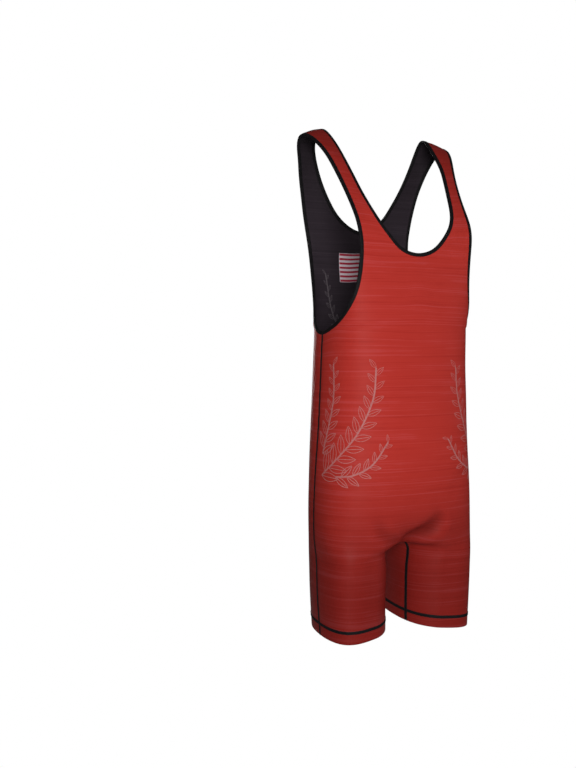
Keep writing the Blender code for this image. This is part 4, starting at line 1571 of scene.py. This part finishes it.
# %% A node tree that sews
def sewing_tree():
    """A row of bowed threads along a path, each turned to the cloth and slanted."""
    tree = bpy.data.node_groups.new("row_of_stitches", "GeometryNodeTree")
    face = tree.interface
    face.new_socket("Path", in_out="INPUT", socket_type="NodeSocketGeometry")
    sizes = (("Pitch", 0.0032), ("Stitch length", 0.0023), ("Thread", 0.00035),
             ("Bow", 0.0003), ("Slant", 0.0), ("Across", 0.0), ("Height", 0.0))
    for label, value in sizes:
        face.new_socket(label, in_out="INPUT", socket_type="NodeSocketFloat").default_value = value
    face.new_socket("Finish", in_out="INPUT", socket_type="NodeSocketMaterial")
    face.new_socket("Stitches", in_out="OUTPUT", socket_type="NodeSocketGeometry")
    new, link = tree.nodes.new, tree.links.new
    number, vector = partial(math_node, tree), partial(vector_node, tree)
    given, made = new("NodeGroupInput"), new("NodeGroupOutput")

    def vector_math(operation, first, second, scale=None):
        node = new("ShaderNodeVectorMath")
        node.operation = operation
        link(first, node.inputs[0])
        if second is not None:
            link(second, node.inputs[1])
        if scale is not None:
            link(scale, node.inputs["Scale"])
        return node.outputs[0]

    # the walk along the path
    curve, points = new("GeometryNodeMeshToCurve"), new("GeometryNodeCurveToPoints")
    points.mode = "LENGTH"
    link(given.outputs["Path"], curve.inputs["Mesh"])
    link(curve.outputs["Curve"], points.inputs["Curve"])
    link(given.outputs["Pitch"], points.inputs["Length"])
    off = new("GeometryNodeInputNamedAttribute")
    off.data_type = "FLOAT_VECTOR"
    off.inputs["Name"].default_value = "off_cloth"
    normal = off.outputs["Attribute"]
    tangent = points.outputs["Tangent"]
    aside = vector_math("NORMALIZE", vector_math("CROSS_PRODUCT", normal, tangent), None)
    shift = vector_math("ADD", vector_math("SCALE", normal, None, given.outputs["Height"]),
                        vector_math("SCALE", aside, None, given.outputs["Across"]))
    moved = new("GeometryNodeSetPosition")
    link(points.outputs["Points"], moved.inputs["Geometry"])
    link(shift, moved.inputs["Offset"])

    # each stitch turned to the cloth, then slanted
    upright, ahead = (new("FunctionNodeAlignRotationToVector") for _ in range(2))
    upright.axis = "Z"
    ahead.axis, ahead.pivot_axis = "X", "Z"
    link(normal, upright.inputs["Vector"])
    link(upright.outputs["Rotation"], ahead.inputs["Rotation"])
    link(tangent, ahead.inputs["Vector"])
    slanted = new("FunctionNodeRotateRotation")
    slanted.rotation_space = "LOCAL"
    turn = new("FunctionNodeEulerToRotation")
    link(vector(z=given.outputs["Slant"]), turn.inputs["Euler"])
    link(ahead.outputs["Rotation"], slanted.inputs["Rotation"])
    link(turn.outputs["Rotation"], slanted.inputs["Rotate By"])

    # one bowed thread
    half = number("MULTIPLY", given.outputs["Stitch length"], 0.5)
    bow, ring = new("GeometryNodeCurveQuadraticBezier"), new("GeometryNodeCurvePrimitiveCircle")
    bow.inputs["Resolution"].default_value = 4
    link(vector(x=number("MULTIPLY", half, -1.0)), bow.inputs["Start"])
    link(vector(z=number("MULTIPLY", given.outputs["Bow"], 2.0)), bow.inputs["Middle"])
    link(vector(x=half), bow.inputs["End"])
    ring.inputs["Resolution"].default_value = 5
    link(number("MULTIPLY", given.outputs["Thread"], 0.5), ring.inputs["Radius"])
    thread = new("GeometryNodeCurveToMesh")
    link(bow.outputs["Curve"], thread.inputs["Curve"])
    link(ring.outputs["Curve"], thread.inputs["Profile Curve"])
    thread.inputs["Fill Caps"].default_value = True

    # a thread on every point
    each, real = new("GeometryNodeInstanceOnPoints"), new("GeometryNodeRealizeInstances")
    finish = new("GeometryNodeSetMaterial")
    link(moved.outputs["Geometry"], each.inputs["Points"])
    link(thread.outputs["Mesh"], each.inputs["Instance"])
    link(slanted.outputs["Rotation"], each.inputs["Rotation"])
    link(each.outputs["Instances"], real.inputs["Geometry"])
    link(real.outputs["Geometry"], finish.inputs["Geometry"])
    link(given.outputs["Finish"], finish.inputs["Material"])
    link(finish.outputs["Geometry"], made.inputs["Stitches"])
    return tree


sewing = sewing_tree()
print("tree inputs:", [item.name for item in sewing.interface.items_tree if item.in_out == "INPUT"])


# %% Sew a row
def path_mesh(name, places, normals, closed):
    """A mesh of edges along a path, with the direction off the cloth kept at each vertex."""
    mesh = bpy.data.meshes.new(name)
    edges = [(index, index + 1) for index in range(len(places) - 1)]
    if closed:
        edges.append((len(places) - 1, 0))
    mesh.from_pydata([tuple(place) for place in places], edges, [])
    off = mesh.attributes.new("off_cloth", "FLOAT_VECTOR", "POINT")
    off.data.foreach_set("vector", [value for normal in normals for value in normal])
    return mesh


def sew(name, places, normals, closed, **settings):
    """A row of stitches along a path, as a plain mesh."""
    labelled = {label.replace("_", " "): value for label, value in settings.items()}
    return run_tree(sewing, path_mesh(name, places, normals, closed),
                    {"Finish": thread_black, **labelled})


def join_rows(name, meshes):
    """Several rows of stitches as one piece."""
    shape = bmesh.new()
    for mesh in meshes:
        shape.from_mesh(mesh)
    for face in shape.faces:
        face.material_index = 0
    bmesh.ops.recalc_face_normals(shape, faces=shape.faces)
    return new_piece(name, shape, (thread_black,))


# %% [markdown]
# The rows on a tape sit 1.2 mm from its free edge. The stitches of a seam are denser: slanted
# threads that nearly touch each other, and a straight row along each side of them.

# %% Sew the tapes and the seams
stitch_pieces = {}
for name, lines in tape_lines.items():
    rows = [sew(name + face, [place for place, _ in line], [normal for _, normal in line], True,
                Pitch=0.0031, Stitch_length=0.0023, Thread=0.0003, Bow=0.00008, Height=0.00002)
            for face, line in lines.items()]
    stitch_pieces[name] = join_rows(name + "_tape_stitches", rows)

for name, band in BANDS.items():
    path, rows = paths[name], []
    for inside in (False, True):
        normals = [-normal if inside else normal for normal in path.normals]
        places = [place + normal * (WALL if inside else 0)
                  for place, normal in zip(path.places, normals)]
        rows.append(sew(name, places, normals, path.closed, Pitch=0.0013, Thread=0.00042,
                        Stitch_length=band.width * 1.02, Bow=0.00022, Slant=1.18,
                        Height=band.bed * 0.75))
        for side in (-1, 1):
            rows.append(sew(name, places, normals, path.closed, Pitch=0.0026, Thread=0.00042,
                            Stitch_length=0.0024, Bow=0.0002, Across=side * band.width * 0.36,
                            Height=band.bed * 0.9 + 0.00018))
    stitch_pieces[name] = join_rows(name + "_stitches", rows)
print("stitch faces:", sum(len(piece.data.polygons) for piece in stitch_pieces.values()))

# %% [markdown]
# ## What rides on what
#
# The garment has one body. Each panel and each tape stands for its imported node, and the other
# pieces go with them. Stretch cloth is cut smaller than it is on the body.

# %% Ride and replace
cloth.free()
everything = [front_cloth, back_cloth, *tapes.values(), *beds.values(),
              *stitch_pieces.values(), *prints]
for piece in everything:
    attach(piece, "root")
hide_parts("front_panel")
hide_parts("back_panel")
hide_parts("neck_binding")
for side in ("left", "right"):
    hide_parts("armhole_binding_" + side)
print(len(everything), "pieces")
